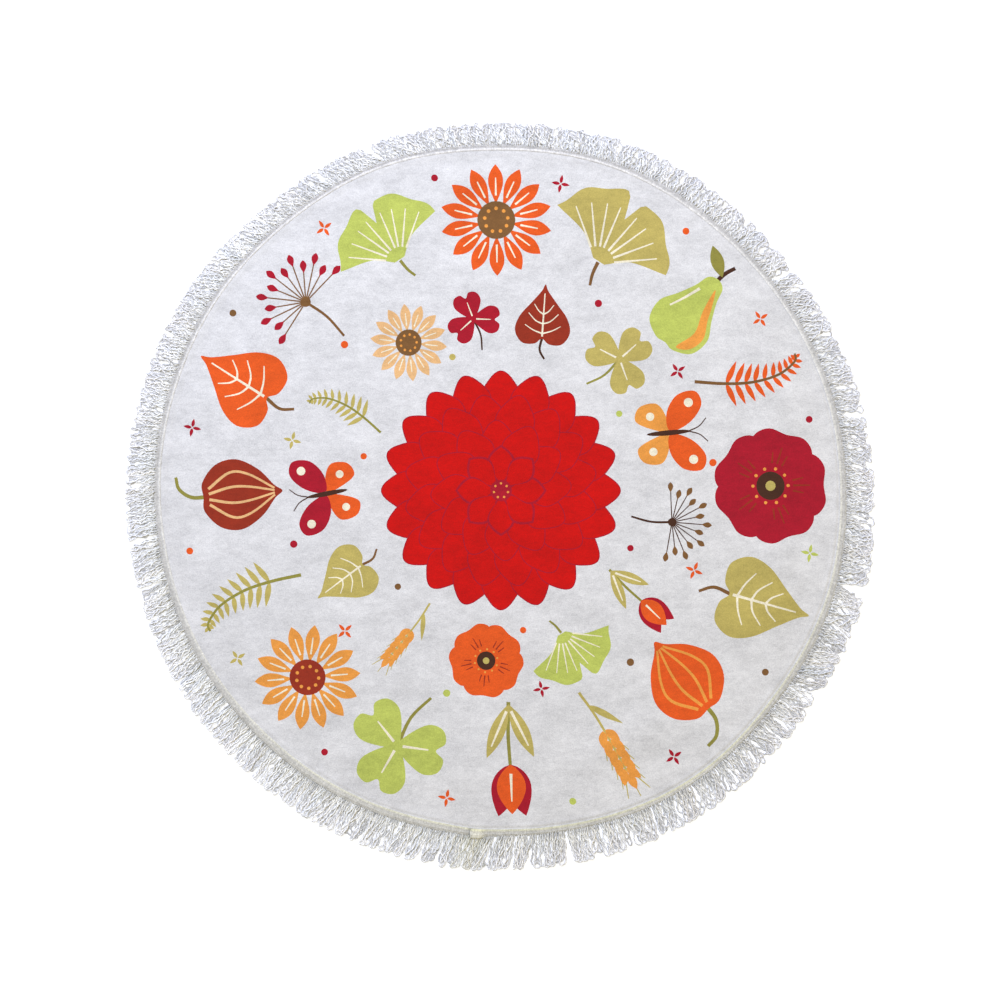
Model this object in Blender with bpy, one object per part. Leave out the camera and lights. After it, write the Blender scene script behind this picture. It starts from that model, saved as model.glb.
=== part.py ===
"""Round beach towel lying flat: a printed velour cloth with a hem, and a loop fringe on a heading tape.

Metres, +Z up. The cloth's centre is the origin and the floor is z = 0. The underside of the whole towel
rests on the floor, but for a few soft swells that lift the cloth a little.
"""

import math
import random

import bmesh
import bpy

# Cloth
CLOTH_RADIUS = 0.6820
CLOTH_THICKNESS = 0.0024
CLOTH_STEPS = 96
CLOTH_RINGS = 12
HEM_WIDTH = 0.0120
HEM_THICKNESS = 0.0036
HEM_SLOPE = 0.0020
HEM_EDGE = 0.0012

# Heading tape, parted from the cloth's edge
TAPE_GAP = 0.0004
TAPE_WIDTH = 0.0120
TAPE_THICKNESS = 0.0030

# The tape's two ends meet here, counted anticlockwise from +X
JOINT_ANGLE = math.radians(265.5)
JOINT_GAP = 0.0006
JOINT_CORNER = 0.0022
JOINT_SPREAD = math.radians(6.0)

# Fringe locks
LOCK_COUNT = 288
LOCK_SHARE = 0.70  # of the tape's edge that the roots take up
LOCK_LENGTH = 0.0560
LOCK_LENGTH_SWING = 0.0140
LOCK_LONGEST_ANGLE = math.radians(275.0)
LOCK_LENGTH_JITTER = 0.14
LOCK_BELLY_AT = 0.78
LOCK_BELLY_WIDTH = 1.12  # times the root's width
LOCK_TIP_WIDTH = 0.58  # times the root's width
LOCK_BELLY_HEIGHT = 0.0046
LOCK_TIP_HEIGHT = 0.0030
LOCK_SWAY = 0.0007

# The outline isn't a true circle. Waves round the edge: how many, size in metres, angle of a crest in degrees
OUTLINE_WAVES = (
    (2, 0.0030, 0.0),
    (3, 0.0011, 40.0),
    (5, 0.0010, 118.0),
    (7, 0.0008, 200.0),
    (11, 0.0006, 15.0),
)

# How far the lock tips lean along the edge, as waves in the same columns
LEAN_WAVES = (
    (1, 0.0050, 190.0),
    (3, 0.0035, 75.0),
    (8, 0.0022, 10.0),
    (17, 0.0016, 140.0),
)

# Soft swells of the cloth: x, y of the middle, turn in degrees, half length, half width, height, in metres
SWELLS = (
    (0.440, 0.400, 140.0, 0.150, 0.070, 0.0026),
    (0.545, -0.180, 78.0, 0.170, 0.075, 0.0024),
    (-0.150, -0.560, 172.0, 0.170, 0.070, 0.0022),
    (0.260, -0.500, 28.0, 0.160, 0.070, 0.0024),
    (-0.500, 0.250, 62.0, 0.150, 0.075, 0.0018),
    (-0.420, -0.370, 128.0, 0.150, 0.070, 0.0020),
    (0.060, 0.500, 8.0, 0.180, 0.075, 0.0018),
    (0.330, 0.060, 100.0, 0.150, 0.070, 0.0014),
    (-0.300, 0.050, 85.0, 0.140, 0.070, 0.0014),
)
SWELL_END = 0.665  # no swell reaches this far out, so that the hem lies on the floor

CLOTH_COLOUR = (0.745, 0.745, 0.790, 1.0)
FRINGE_COLOUR = (0.840, 0.835, 0.820, 1.0)


def clear_scene():
    """Removes every object that the scene starts with."""
    for thing in list(bpy.data.objects):
        bpy.data.objects.remove(thing, do_unlink=True)


def waves(table, angle):
    """The sum of a table's waves at an angle."""
    total = 0.0
    for count, size, crest in table:
        total += size * math.cos(count * (angle - math.radians(crest)))
    return total


def angle_from(angle, other):
    """The turn from one angle to another, between -pi and pi."""
    return (angle - other + math.pi) % (2 * math.pi) - math.pi


def outline_offset(angle):
    """How far the edge stands off the true circle, with the slight corner at the tape's joint."""
    corner = abs(angle_from(angle, JOINT_ANGLE)) / JOINT_SPREAD
    return waves(OUTLINE_WAVES, angle) + JOINT_CORNER * max(0.0, 1.0 - corner)


def soft_step(value):
    """Rises from 0 to 1 with level ends."""
    value = min(1.0, max(0.0, value))
    return value * value * (3.0 - 2.0 * value)


def lift(x, y):
    """The height of the cloth's underside above the floor."""
    height = 0.0
    for mid_x, mid_y, turn, half_length, half_width, top in SWELLS:
        turn = math.radians(turn)
        along = (x - mid_x) * math.cos(turn) + (y - mid_y) * math.sin(turn)
        across = (y - mid_y) * math.cos(turn) - (x - mid_x) * math.sin(turn)
        reach = math.hypot(along / half_length, across / half_width)
        height += top * soft_step(1.0 - reach)
    inside = (SWELL_END - math.hypot(x, y)) / 0.030
    return height * soft_step(inside)


def material(name, colour, roughness):
    """A plain Principled material."""
    made = bpy.data.materials.new(name)
    made.use_nodes = True
    shader = made.node_tree.nodes["Principled BSDF"]
    shader.inputs["Base Color"].default_value = colour
    shader.inputs["Roughness"].default_value = roughness
    shader.inputs["Metallic"].default_value = 0.0
    return made


def new_node(name, bm, collection, finish):
    """Turns a bmesh into a named object of the collection."""
    bmesh.ops.recalc_face_normals(bm, faces=bm.faces)
    if bm.calc_volume(signed=True) < 0:
        bmesh.ops.reverse_faces(bm, faces=bm.faces)
    mesh = bpy.data.meshes.new(name)
    bm.to_mesh(mesh)
    bm.free()
    mesh.materials.append(finish)
    mesh.shade_smooth()
    mesh.set_sharp_from_angle(angle=math.radians(50.0))
    node = bpy.data.objects.new(name, mesh)
    collection.objects.link(node)
    return node


def profile_edges(bm, points, closed):
    """Draws a profile in the XZ plane from its (radius, height) points."""
    verts = [bm.verts.new((radius, 0.0, height)) for radius, height in points]
    edges = [bm.edges.new(pair) for pair in zip(verts, verts[1:])]
    if closed:
        edges.append(bm.edges.new((verts[-1], verts[0])))
    return verts + edges


def cloth_profile():
    """The cloth's half section: out over the face and the hem, and back along the underside."""
    flat_end = CLOTH_RADIUS - HEM_WIDTH - HEM_SLOPE
    rings = [flat_end * index / CLOTH_RINGS for index in range(CLOTH_RINGS + 1)]
    face = [(radius, CLOTH_THICKNESS) for radius in rings]
    hem = [
        (CLOTH_RADIUS - HEM_WIDTH, HEM_THICKNESS),
        (CLOTH_RADIUS - HEM_EDGE, HEM_THICKNESS),
        (CLOTH_RADIUS, HEM_THICKNESS - HEM_EDGE),
        (CLOTH_RADIUS, HEM_EDGE),
        (CLOTH_RADIUS - HEM_EDGE, 0.0),
    ]
    underside = [(radius, 0.0) for radius in reversed(rings)]
    return face + hem + underside


def shape_cloth(bm):
    """Gives the turned cloth its uneven outline and its swells."""
    for vert in bm.verts:
        radius = math.hypot(vert.co.x, vert.co.y)
        if radius < 1e-6:
            continue
        angle = math.atan2(vert.co.y, vert.co.x)
        grown = 1.0 + outline_offset(angle) * (radius / CLOTH_RADIUS) ** 2 / radius
        vert.co.x *= grown
        vert.co.y *= grown
        vert.co.z += lift(vert.co.x, vert.co.y)


def make_cloth(collection):
    """The printed round with its hem, turned from its section."""
    bm = bmesh.new()
    bmesh.ops.spin(
        bm,
        geom=profile_edges(bm, cloth_profile(), closed=False),
        cent=(0.0, 0.0, 0.0),
        axis=(0.0, 0.0, 1.0),
        angle=2 * math.pi,
        steps=CLOTH_STEPS,
        use_merge=True,
    )
    bmesh.ops.remove_doubles(bm, verts=bm.verts, dist=1e-5)
    shape_cloth(bm)
    finish = material("printed_velour", CLOTH_COLOUR, 0.95)
    return new_node("towel", bm, collection, finish)


def column_angles(rng):
    """The tape's columns round the edge: each lock's root lies between two of them, with a space after it."""
    start = JOINT_ANGLE + JOINT_GAP / 2 / CLOTH_RADIUS
    end = JOINT_ANGLE + 2 * math.pi - JOINT_GAP / 2 / CLOTH_RADIUS
    pitch = (end - start) / LOCK_COUNT
    angles = []
    for index in range(LOCK_COUNT):
        share = LOCK_SHARE + rng.uniform(-0.08, 0.08)
        first = start + pitch * (index + (1.0 - share) / 2 + rng.uniform(-0.03, 0.03))
        angles += [first, first + pitch * share]
    return [start] + angles + [end]


def polar(angle, radius, height):
    """A point from its angle, radius and height."""
    return (radius * math.cos(angle), radius * math.sin(angle), height)


def turned_strip(bm, angles):
    """Turns the tape's section round the cloth, sets its columns and returns its outer radius."""
    inner = CLOTH_RADIUS + TAPE_GAP
    outer = inner + TAPE_WIDTH
    section = [(inner, 0.0), (outer, 0.0), (outer, TAPE_THICKNESS), (inner, TAPE_THICKNESS)]
    steps = len(angles) - 1
    turn = angles[-1] - angles[0]
    drawn = profile_edges(bm, section, closed=True)
    first_end = bm.faces.new([item for item in drawn if isinstance(item, bmesh.types.BMVert)])
    bmesh.ops.spin(
        bm,
        geom=[first_end] + list(first_end.edges) + list(first_end.verts),
        cent=(0.0, 0.0, 0.0),
        axis=(0.0, 0.0, 1.0),
        angle=turn,
        steps=steps,
        use_duplicate=False,
    )
    for vert in bm.verts:
        turned = math.atan2(vert.co.y, vert.co.x) % (2 * math.pi)
        column = round(turned / turn * steps) if turned < turn + 1e-4 else 0
        radius = math.hypot(vert.co.x, vert.co.y)
        vert.co = polar(angles[column], radius, vert.co.z)
    return outer


def make_fringe(collection):
    """The heading tape with its locks, drawn out of the tape's outer face."""
    rng = random.Random(11)
    bm = bmesh.new()
    angles = column_angles(rng)
    outer = turned_strip(bm, angles)
    grow_locks(bm, angles, outer, rng)
    for vert in bm.verts:
        radius = math.hypot(vert.co.x, vert.co.y)
        angle = math.atan2(vert.co.y, vert.co.x)
        vert.co = polar(angle, radius + outline_offset(angle), vert.co.z)
    finish = material("fringe_yarn", FRINGE_COLOUR, 0.9)
    return new_node("fringe", bm, collection, finish)


def number_roots(bm, angles, outer):
    """Numbers the outer faces that locks grow from, and returns them with the layer of numbers."""
    number = bm.faces.layers.int.new("lock")
    spans = list(zip(angles[1::2], angles[2::2]))
    roots = []
    for face in bm.faces:
        if min(math.hypot(vert.co.x, vert.co.y) for vert in face.verts) < outer - 1e-5:
            continue
        middle = face.calc_center_median()
        turned = angles[0] + (math.atan2(middle.y, middle.x) - angles[0]) % (2 * math.pi)
        for index, (low, high) in enumerate(spans):
            if low < turned < high:
                face[number] = index
                roots.append(face)
    return roots, number


def lock_stations(middle, half, outer, rng):
    """A lock's sections past its root, each as (angle, half width as an angle, radius, height)."""
    swing = math.cos(middle - LOCK_LONGEST_ANGLE)
    length = LOCK_LENGTH + LOCK_LENGTH_SWING * swing
    length *= 1.0 - LOCK_LENGTH_JITTER * rng.random()
    lean = waves(LEAN_WAVES, middle) + rng.uniform(-LOCK_SWAY, LOCK_SWAY)
    belly = outer + length * LOCK_BELLY_AT
    tip = outer + length
    return (
        (
            middle + lean * LOCK_BELLY_AT / belly,
            half * LOCK_BELLY_WIDTH * outer / belly,
            belly,
            LOCK_BELLY_HEIGHT * rng.uniform(0.85, 1.0),
        ),
        (
            middle + lean / tip,
            half * LOCK_TIP_WIDTH * outer / tip,
            tip,
            LOCK_TIP_HEIGHT * rng.uniform(0.85, 1.0),
        ),
    )


def grow_locks(bm, angles, outer, rng):
    """Extrudes each root twice: to the lock's belly, and to its narrower tip."""
    plans = []
    for low, high in zip(angles[1::2], angles[2::2]):
        middle = (low + high) / 2
        root = (middle, (high - low) / 2, outer, TAPE_THICKNESS)
        plans.append((root,) + lock_stations(middle, (high - low) / 2, outer, rng))
    faces, number = number_roots(bm, angles, outer)
    for station in (1, 2):
        faces = bmesh.ops.extrude_discrete_faces(bm, faces=faces)["faces"]
        for face in faces:
            before = plans[face[number]][station - 1]
            angle, half, radius, height = plans[face[number]][station]
            for vert in face.verts:
                turned = angle_from(math.atan2(vert.co.y, vert.co.x), before[0])
                top = height if vert.co.z > before[3] / 2 else 0.0
                vert.co = polar(angle + math.copysign(half, turned), radius, top)


def main():
    """Builds the towel in its own collection."""
    clear_scene()
    collection = bpy.data.collections.new("round_beach_towel")
    bpy.context.scene.collection.children.link(collection)
    make_cloth(collection)
    make_fringe(collection)


main()
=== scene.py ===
"""A round beach towel spread out flat: a printed velour cloth, a heading tape and a loop fringe.

The cloth is one sheet with its hem, printed with a wreath of leaves, flowers and fruit round a large
flower. The fringe is crinkled two-ply yarn, looped and uncut, on a woven tape that is stitched down and
whose two ends lap at the front of the towel. Everything is in metres, in the frame of the CAD model:
the cloth's middle is the origin, the floor is z = 0 and the printed face looks up.
"""

import logging
import math
from dataclasses import dataclass
from enum import Enum, member
from typing import Sequence

import bpy
import numpy as np
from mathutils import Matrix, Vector
from mathutils.geometry import delaunay_2d_cdt


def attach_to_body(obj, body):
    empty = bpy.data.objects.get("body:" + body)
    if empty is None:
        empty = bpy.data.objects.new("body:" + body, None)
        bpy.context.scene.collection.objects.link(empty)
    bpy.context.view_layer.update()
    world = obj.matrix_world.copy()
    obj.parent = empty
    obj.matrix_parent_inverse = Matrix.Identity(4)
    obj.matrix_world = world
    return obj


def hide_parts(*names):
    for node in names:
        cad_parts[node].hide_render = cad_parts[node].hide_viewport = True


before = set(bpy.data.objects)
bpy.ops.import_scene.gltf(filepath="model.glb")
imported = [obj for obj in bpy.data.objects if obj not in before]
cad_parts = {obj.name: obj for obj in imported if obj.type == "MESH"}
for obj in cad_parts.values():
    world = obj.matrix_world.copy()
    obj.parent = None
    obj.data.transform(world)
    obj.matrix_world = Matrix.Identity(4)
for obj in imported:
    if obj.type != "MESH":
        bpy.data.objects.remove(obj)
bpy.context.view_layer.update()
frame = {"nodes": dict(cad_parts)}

LOG = logging.getLogger("beach_towel")

Array = np.ndarray
Colour = tuple[float, float, float]
Knots = Sequence[tuple[float, float]]

# ---------------------------------------------------------------------------------------------------
# Sizes that the pieces share

CLOTH_RADIUS = 0.6885
TAPE_GAP = 0.0004
TAPE_WIDTH = 0.0147
JOINT_ANGLE = math.radians(265.5)
JOINT_CORNER = 0.0022
JOINT_SPREAD = math.radians(6.0)

# Waves round the edge: how many, size in metres, angle of a crest in degrees
OUTLINE_WAVES = (
    (1, 0.0010, 99.0), (2, 0.0049, 130.2), (3, 0.0020, 78.1), (4, 0.0008, 26.8), (5, 0.0007, 4.8),
    (6, 0.0011, 59.5), (8, 0.0012, 24.6), (9, 0.0008, 25.4), (11, 0.0007, 11.4),
)

# Waves in the length of the loops: how many, size in metres, angle of a crest in degrees
LENGTH_WAVES = ((1, 0.0124, 268.0), (2, 0.0011, 33.7), (4, 0.0008, 69.6))

# How much of the tape shows outside the cloth: degrees round the towel, and width in metres
TAPE_SHOWS = (
    (0, 0.0125), (20, 0.0110), (40, 0.0100), (60, 0.0120), (80, 0.0095), (95, 0.0105), (115, 0.0085),
    (140, 0.0105), (170, 0.0110), (200, 0.0125), (230, 0.0145), (260, 0.0145), (272, 0.0115),
    (290, 0.0105), (303, 0.0080), (318, 0.0105), (335, 0.0140), (350, 0.0130),
)

# How the loops lie: degrees round the towel, and degrees that they lean anticlockwise there
LEANS = (
    (0, -21), (15, -16), (30, -13), (45, -12), (60, -8), (75, 8), (90, 20), (105, 24), (120, 25),
    (135, 22), (150, 1), (165, -1), (180, 10), (195, 12), (210, 12), (225, -2), (240, -8), (255, -11),
    (270, -18), (285, 4), (300, -9), (315, 0), (330, 10), (345, -10),
)

# Where the yarn is paler: degrees round the towel, spread in radians, and how much paler
PALE_YARN = ((2.0, 0.25, 0.035), (148.0, 0.35, 0.045), (218.0, 0.60, 0.085), (258.0, 0.35, 0.045))

# Where the tape's inner edge lies the most in the open
OPEN_EDGE = (math.radians(236.0), 0.50)

# Soft swells of the cloth: x, y of the middle, turn in degrees, half length, half width, height
SWELLS = (
    (0.440, 0.400, 140.0, 0.150, 0.070, 0.0026),
    (0.545, -0.180, 78.0, 0.170, 0.075, 0.0024),
    (-0.150, -0.560, 172.0, 0.170, 0.070, 0.0022),
    (0.260, -0.500, 28.0, 0.160, 0.070, 0.0024),
    (-0.500, 0.250, 62.0, 0.150, 0.075, 0.0018),
    (-0.420, -0.370, 128.0, 0.150, 0.070, 0.0020),
    (0.060, 0.500, 8.0, 0.180, 0.075, 0.0018),
    (0.330, 0.060, 100.0, 0.150, 0.070, 0.0014),
    (-0.300, 0.050, 85.0, 0.140, 0.070, 0.0014),
    (0.555, 0.170, 107.0, 0.230, 0.085, 0.0030),
)
SWELL_END = 0.671
SWELL_FADE = 0.030

# Faint creases pressed into the face: x, y of the middle, turn in degrees, half length, half width, height
CREASES = (
    (0.470, 0.452, 128.0, 0.060, 0.006, 0.0007),
    (0.590, -0.195, 62.0, 0.070, 0.006, 0.0006),
    (0.520, 0.240, 150.0, 0.080, 0.007, 0.0005),
    (-0.120, -0.610, 20.0, 0.070, 0.006, 0.0006),
    (0.180, -0.600, 160.0, 0.080, 0.007, 0.0006),
    (-0.560, -0.180, 105.0, 0.070, 0.007, 0.0005),
    (-0.360, 0.470, 30.0, 0.080, 0.007, 0.0005),
    (0.100, 0.590, 170.0, 0.090, 0.008, 0.0005),
    (0.380, -0.400, 48.0, 0.090, 0.007, 0.0006),
)


class Dye(Enum):
    """The print's inks and the cloth's ground, as seen colours from 0 to 255."""

    GROUND = (214, 213, 210)
    RED = (197, 12, 7)
    CRIMSON = (165, 22, 40)
    RUST = (146, 48, 28)
    ORANGE = (222, 88, 30)
    AMBER = (226, 150, 66)
    TAN = (222, 176, 120)
    CREAM = (232, 224, 196)
    KHAKI = (184, 168, 92)
    LIME = (182, 192, 92)
    OLIVE = (142, 136, 62)
    BROWN = (122, 86, 48)
    BARK = (70, 42, 28)

    @property
    def linear(self) -> Colour:
        """The ink as linear light, for a shader."""
        share = [channel / 255.0 for channel in self.value]
        return tuple(c / 12.92 if c <= 0.04045 else ((c + 0.055) / 1.055) ** 2.4 for c in share)


# ---------------------------------------------------------------------------------------------------
# The towel's own shape


def waves(table: Sequence[tuple[float, float, float]], angle: Array) -> Array:
    """Adds up a table's waves at each angle."""
    return sum(size * np.cos(count * (angle - math.radians(crest))) for count, size, crest in table)


def turn_between(angle: Array, other: float) -> Array:
    """The turn from one angle to others, between -pi and pi."""
    return (angle - other + math.pi) % (2 * math.pi) - math.pi


def near(angle: Array, middle: float, spread: float) -> Array:
    """A soft bell round one place of the edge: 1 at its middle, and fading over its spread, in radians."""
    return np.exp(-((turn_between(angle, middle) / spread) ** 2))


def outline_offset(angle: Array) -> Array:
    """How far the edge stands off a true circle, with the slight corner where the tape's ends meet."""
    corner = np.abs(turn_between(angle, JOINT_ANGLE)) / JOINT_SPREAD
    return waves(OUTLINE_WAVES, angle) + JOINT_CORNER * np.maximum(0.0, 1.0 - corner)


def round_the_towel(table: Sequence[tuple[float, float]], angle: Array) -> Array:
    """Reads a table by degrees at each angle in radians."""
    return np.interp(np.degrees(angle), *np.array(table, float).T, period=360.0)


def fringe_root(angle: Array) -> Array:
    """The radius of the tape's outer edge, where the loops come out, at each angle."""
    return CLOTH_RADIUS + TAPE_GAP + round_the_towel(TAPE_SHOWS, angle) + outline_offset(angle)


def soft_step(value: Array) -> Array:
    """Rises from 0 to 1 with level ends."""
    value = np.clip(value, 0.0, 1.0)
    return value * value * (3.0 - 2.0 * value)


def ridges(table: Sequence[tuple[float, ...]], x: Array, y: Array) -> Array:
    """Adds up a table's soft oval ridges.

    Args:
        table: Each ridge's middle, turn, half length, half width and height.
        x: The places' x.
        y: The places' y.

    Returns:
        The height at each place.
    """
    height = np.zeros_like(x)
    for mid_x, mid_y, degrees, half_length, half_width, top in table:
        turn = math.radians(degrees)
        along = (x - mid_x) * math.cos(turn) + (y - mid_y) * math.sin(turn)
        across = (y - mid_y) * math.cos(turn) - (x - mid_x) * math.sin(turn)
        height += top * soft_step(1.0 - np.hypot(along / half_length, across / half_width))
    return height


def settle(points: Array) -> Array:
    """Gives points on a true round their place on the uneven one, and lifts them on its swells.

    Args:
        points: Rows of x, y and height over the cloth's underside.

    Returns:
        Rows of x, y and z in the frame.
    """
    radius = np.maximum(np.hypot(points[:, 0], points[:, 1]), 1e-9)
    angle = np.arctan2(points[:, 1], points[:, 0])
    reach = np.where(radius < CLOTH_RADIUS, (radius / CLOTH_RADIUS) ** 2, 1.0)
    grown = 1.0 + outline_offset(angle) * reach / radius
    x, y = points[:, 0] * grown, points[:, 1] * grown
    inside = soft_step((SWELL_END - np.hypot(x, y)) / SWELL_FADE)
    return np.stack([x, y, points[:, 2] + ridges(SWELLS, x, y) * inside], axis=1)


# ---------------------------------------------------------------------------------------------------
# Meshes


def ring(radius: float, count: int, height: float = 0.0) -> Array:
    """Evenly spaced points round the origin, as rows of x, y and height."""
    angle = np.linspace(0.0, 2 * np.pi, count, endpoint=False)
    return np.stack([np.cos(angle) * radius, np.sin(angle) * radius, np.full(count, height)], axis=1)


def band(rings: Array) -> Array:
    """Joins rings of points, each to the next, with quads.

    Args:
        rings: Point numbers, with the rings and the places round a ring as the last two axes.

    Returns:
        Each quad's corners, from the earlier ring to the later one and back.
    """
    low, high = rings[..., :-1, :], rings[..., 1:, :]
    quads = np.stack([low, high, np.roll(high, -1, -1), np.roll(low, -1, -1)], axis=-1)
    return quads.reshape(-1, 4)


def make_piece(name: str, points: Array, faces: Sequence[Sequence[int]]) -> bpy.types.Object:
    """Makes a smooth mesh object at the origin.

    Args:
        name: The piece's name.
        points: Rows of x, y and z.
        faces: Each face's corners, counted from 0.

    Returns:
        The new object, linked to the scene.
    """
    mesh = bpy.data.meshes.new(name)
    mesh.from_pydata(points.tolist(), [], [list(map(int, face)) for face in faces])
    mesh.validate()
    mesh.shade_smooth()
    piece = bpy.data.objects.new(name, mesh)
    bpy.context.scene.collection.objects.link(piece)
    return piece


def corner_points(mesh: bpy.types.Mesh) -> Array:
    """Which point each corner of the faces is.

    Args:
        mesh: The mesh.

    Returns:
        Each corner's point number.
    """
    corners = np.empty(len(mesh.loops), np.int32)
    mesh.loops.foreach_get("vertex_index", corners)
    return corners


def store_map(mesh: bpy.types.Mesh, name: str, places: Array) -> None:
    """Stores a UV map, with a row of u and v for each corner."""
    mesh.uv_layers.new(name=name).data.foreach_set("uv", places.astype(np.float32).ravel())


def store_colours(mesh: bpy.types.Mesh, name: str, domain: str, colours: Array) -> None:
    """Stores a linear colour for each point or each corner.

    Args:
        mesh: The mesh.
        name: The attribute's name.
        domain: POINT or CORNER.
        colours: Rows of red, green and blue.
    """
    layer = mesh.color_attributes.new(name=name, type="FLOAT_COLOR", domain=domain)
    full = np.column_stack([colours, np.ones(len(colours))])
    layer.data.foreach_set("color", full.astype(np.float32).ravel())


# ---------------------------------------------------------------------------------------------------
# Drawing the print

LINE = 0.026  # a drawn line's width as a share of its motif


@dataclass(frozen=True)
class Patch:
    """One flat shape of a single ink.

    Args:
        outline: Rows of x and y.
        dye: Its ink.
    """

    outline: Array
    dye: Dye

    def turned(self, degrees: float) -> "Patch":
        """The patch turned anticlockwise about the origin."""
        c, s = math.cos(math.radians(degrees)), math.sin(math.radians(degrees))
        return Patch(self.outline @ np.array([[c, s], [-s, c]]), self.dye)

    def moved(self, x: float, y: float) -> "Patch":
        """The patch shifted."""
        return Patch(self.outline + (x, y), self.dye)

    def repeated(self, count: int) -> list["Patch"]:
        """Evenly turned copies round the origin."""
        return [self.turned(index * 360 / count) for index in range(count)]

    def anticlockwise(self) -> "Patch":
        """Turns the outline round if it runs clockwise.

        Returns:
            The patch with an anticlockwise outline.
        """
        x, y = self.outline.T
        area = np.sum(x * np.roll(y, -1) - np.roll(x, -1) * y)
        return self if area > 0 else Patch(self.outline[::-1], self.dye)

    def thinned(self, finest: float) -> "Patch":
        """Drops points that lie closer than the finest step to the one before.

        Args:
            finest: The shortest step that is kept.

        Returns:
            The plainer patch.
        """
        kept = [self.outline[0]]
        for point in self.outline[1:]:
            if np.hypot(*(point - kept[-1])) > finest:
                kept.append(point)
        if len(kept) > 3 and np.hypot(*(kept[-1] - kept[0])) < finest:
            kept.pop()
        return Patch(np.array(kept), self.dye)


def curve_through(knots: Knots, closed: bool, pieces: int) -> Array:
    """A smooth curve through knots.

    Args:
        knots: Places of x and y.
        closed: Whether the curve returns to its start.
        pieces: Steps between two knots.

    Returns:
        Rows of x and y along the curve.
    """
    knots = np.array(knots, float)
    if closed:
        before, here, after, later = (np.roll(knots, shift, 0) for shift in (1, 0, -1, -2))
    else:
        before = np.vstack([2 * knots[0] - knots[1], knots[:-2]])
        here, after = knots[:-1], knots[1:]
        later = np.vstack([knots[2:], 2 * knots[-1] - knots[-2]])
    steps = np.linspace(0.0, 1.0, pieces, endpoint=False)[None, :, None]
    p0, p1, p2, p3 = (part[:, None, :] for part in (before, here, after, later))
    curve = 0.5 * (
        2 * p1
        + (p2 - p0) * steps
        + (2 * p0 - 5 * p1 + 4 * p2 - p3) * steps**2
        + (3 * p1 - p0 - 3 * p2 + p3) * steps**3
    )
    curve = curve.reshape(-1, 2)
    return curve if closed else np.vstack([curve, knots[-1:]])


def blob(dye: Dye, knots: Knots, pieces: int) -> Patch:
    """A smooth closed shape through knots."""
    return Patch(curve_through(knots, True, pieces), dye)


def even_blob(dye: Dye, half: Knots, pieces: int) -> Patch:
    """A smooth shape that is alike on both sides of the Y axis, from the knots of its right half.

    Args:
        dye: Its ink.
        half: Places of x and y, from the top down.
        pieces: Steps between two knots.

    Returns:
        The shape.
    """
    right = np.array(half, float)
    left = right[::-1] * (-1.0, 1.0)
    return blob(dye, np.vstack([right, left[np.abs(left[:, 0]) > 1e-9]]), pieces)


def blade(dye: Dye, length: float, width: float, belly: float) -> Patch:
    """A pointed leaf or petal that grows up from the origin.

    Args:
        dye: Its ink.
        length: From its base to its tip.
        width: Across its widest place.
        belly: How far up it is widest, from 0 to 1.

    Returns:
        The blade.
    """
    along = np.linspace(0.0, 1.0, 16)
    bend = math.log(0.5) / math.log(belly)
    side = np.sin(np.pi * along**bend) ** 0.9 * width / 2
    right = np.stack([side, along * length], axis=1)
    return Patch(np.vstack([right, right[-2:0:-1] * (-1.0, 1.0)]), dye)


def oval(dye: Dye, x: float, y: float, across: float, steps: int, up: float = 0.0) -> Patch:
    """An oval about a place, or a disc if it has no second size.

    Args:
        dye: Its ink.
        x: The middle's x.
        y: The middle's y.
        across: Its width.
        steps: Points round it.
        up: Its height.

    Returns:
        The oval.
    """
    angle = np.linspace(0.0, 2 * np.pi, steps, endpoint=False)
    right, high = np.cos(angle) * across / 2, np.sin(angle) * (up or across) / 2
    return Patch(np.stack([x + right, y + high], axis=1), dye)


def seeds(out: float, count: int, size: float, steps: int) -> list[Patch]:
    """A ring of small amber discs."""
    places = [Patch(np.array([[0.0, out]]), Dye.AMBER).turned(index * 360 / count) for index in range(count)]
    return [oval(place.dye, *place.outline[0], size, steps) for place in places]


def line(dye: Dye, start: float, end: float, *knots: tuple[float, float]) -> Patch:
    """A drawn line with a width, along a smooth curve.

    Args:
        dye: Its ink.
        start: Its width at the first place.
        end: Its width at the last one.
        *knots: Places it runs through.

    Returns:
        The line.
    """
    middle = curve_through(knots, False, 5)
    ahead = np.gradient(middle, axis=0)
    ahead /= np.linalg.norm(ahead, axis=1)[:, None]
    side = np.stack([-ahead[:, 1], ahead[:, 0]], axis=1)
    width = np.linspace(start, end, len(middle))[:, None] / 2
    return Patch(np.vstack([middle + side * width, (middle - side * width)[::-1]]), dye)


def vein(start: float, end: float, *knots: tuple[float, float], dye: Dye = Dye.CREAM) -> Patch:
    """A fine line, with its widths as shares of the usual one."""
    return line(dye, LINE * start, LINE * end, *knots)


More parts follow.
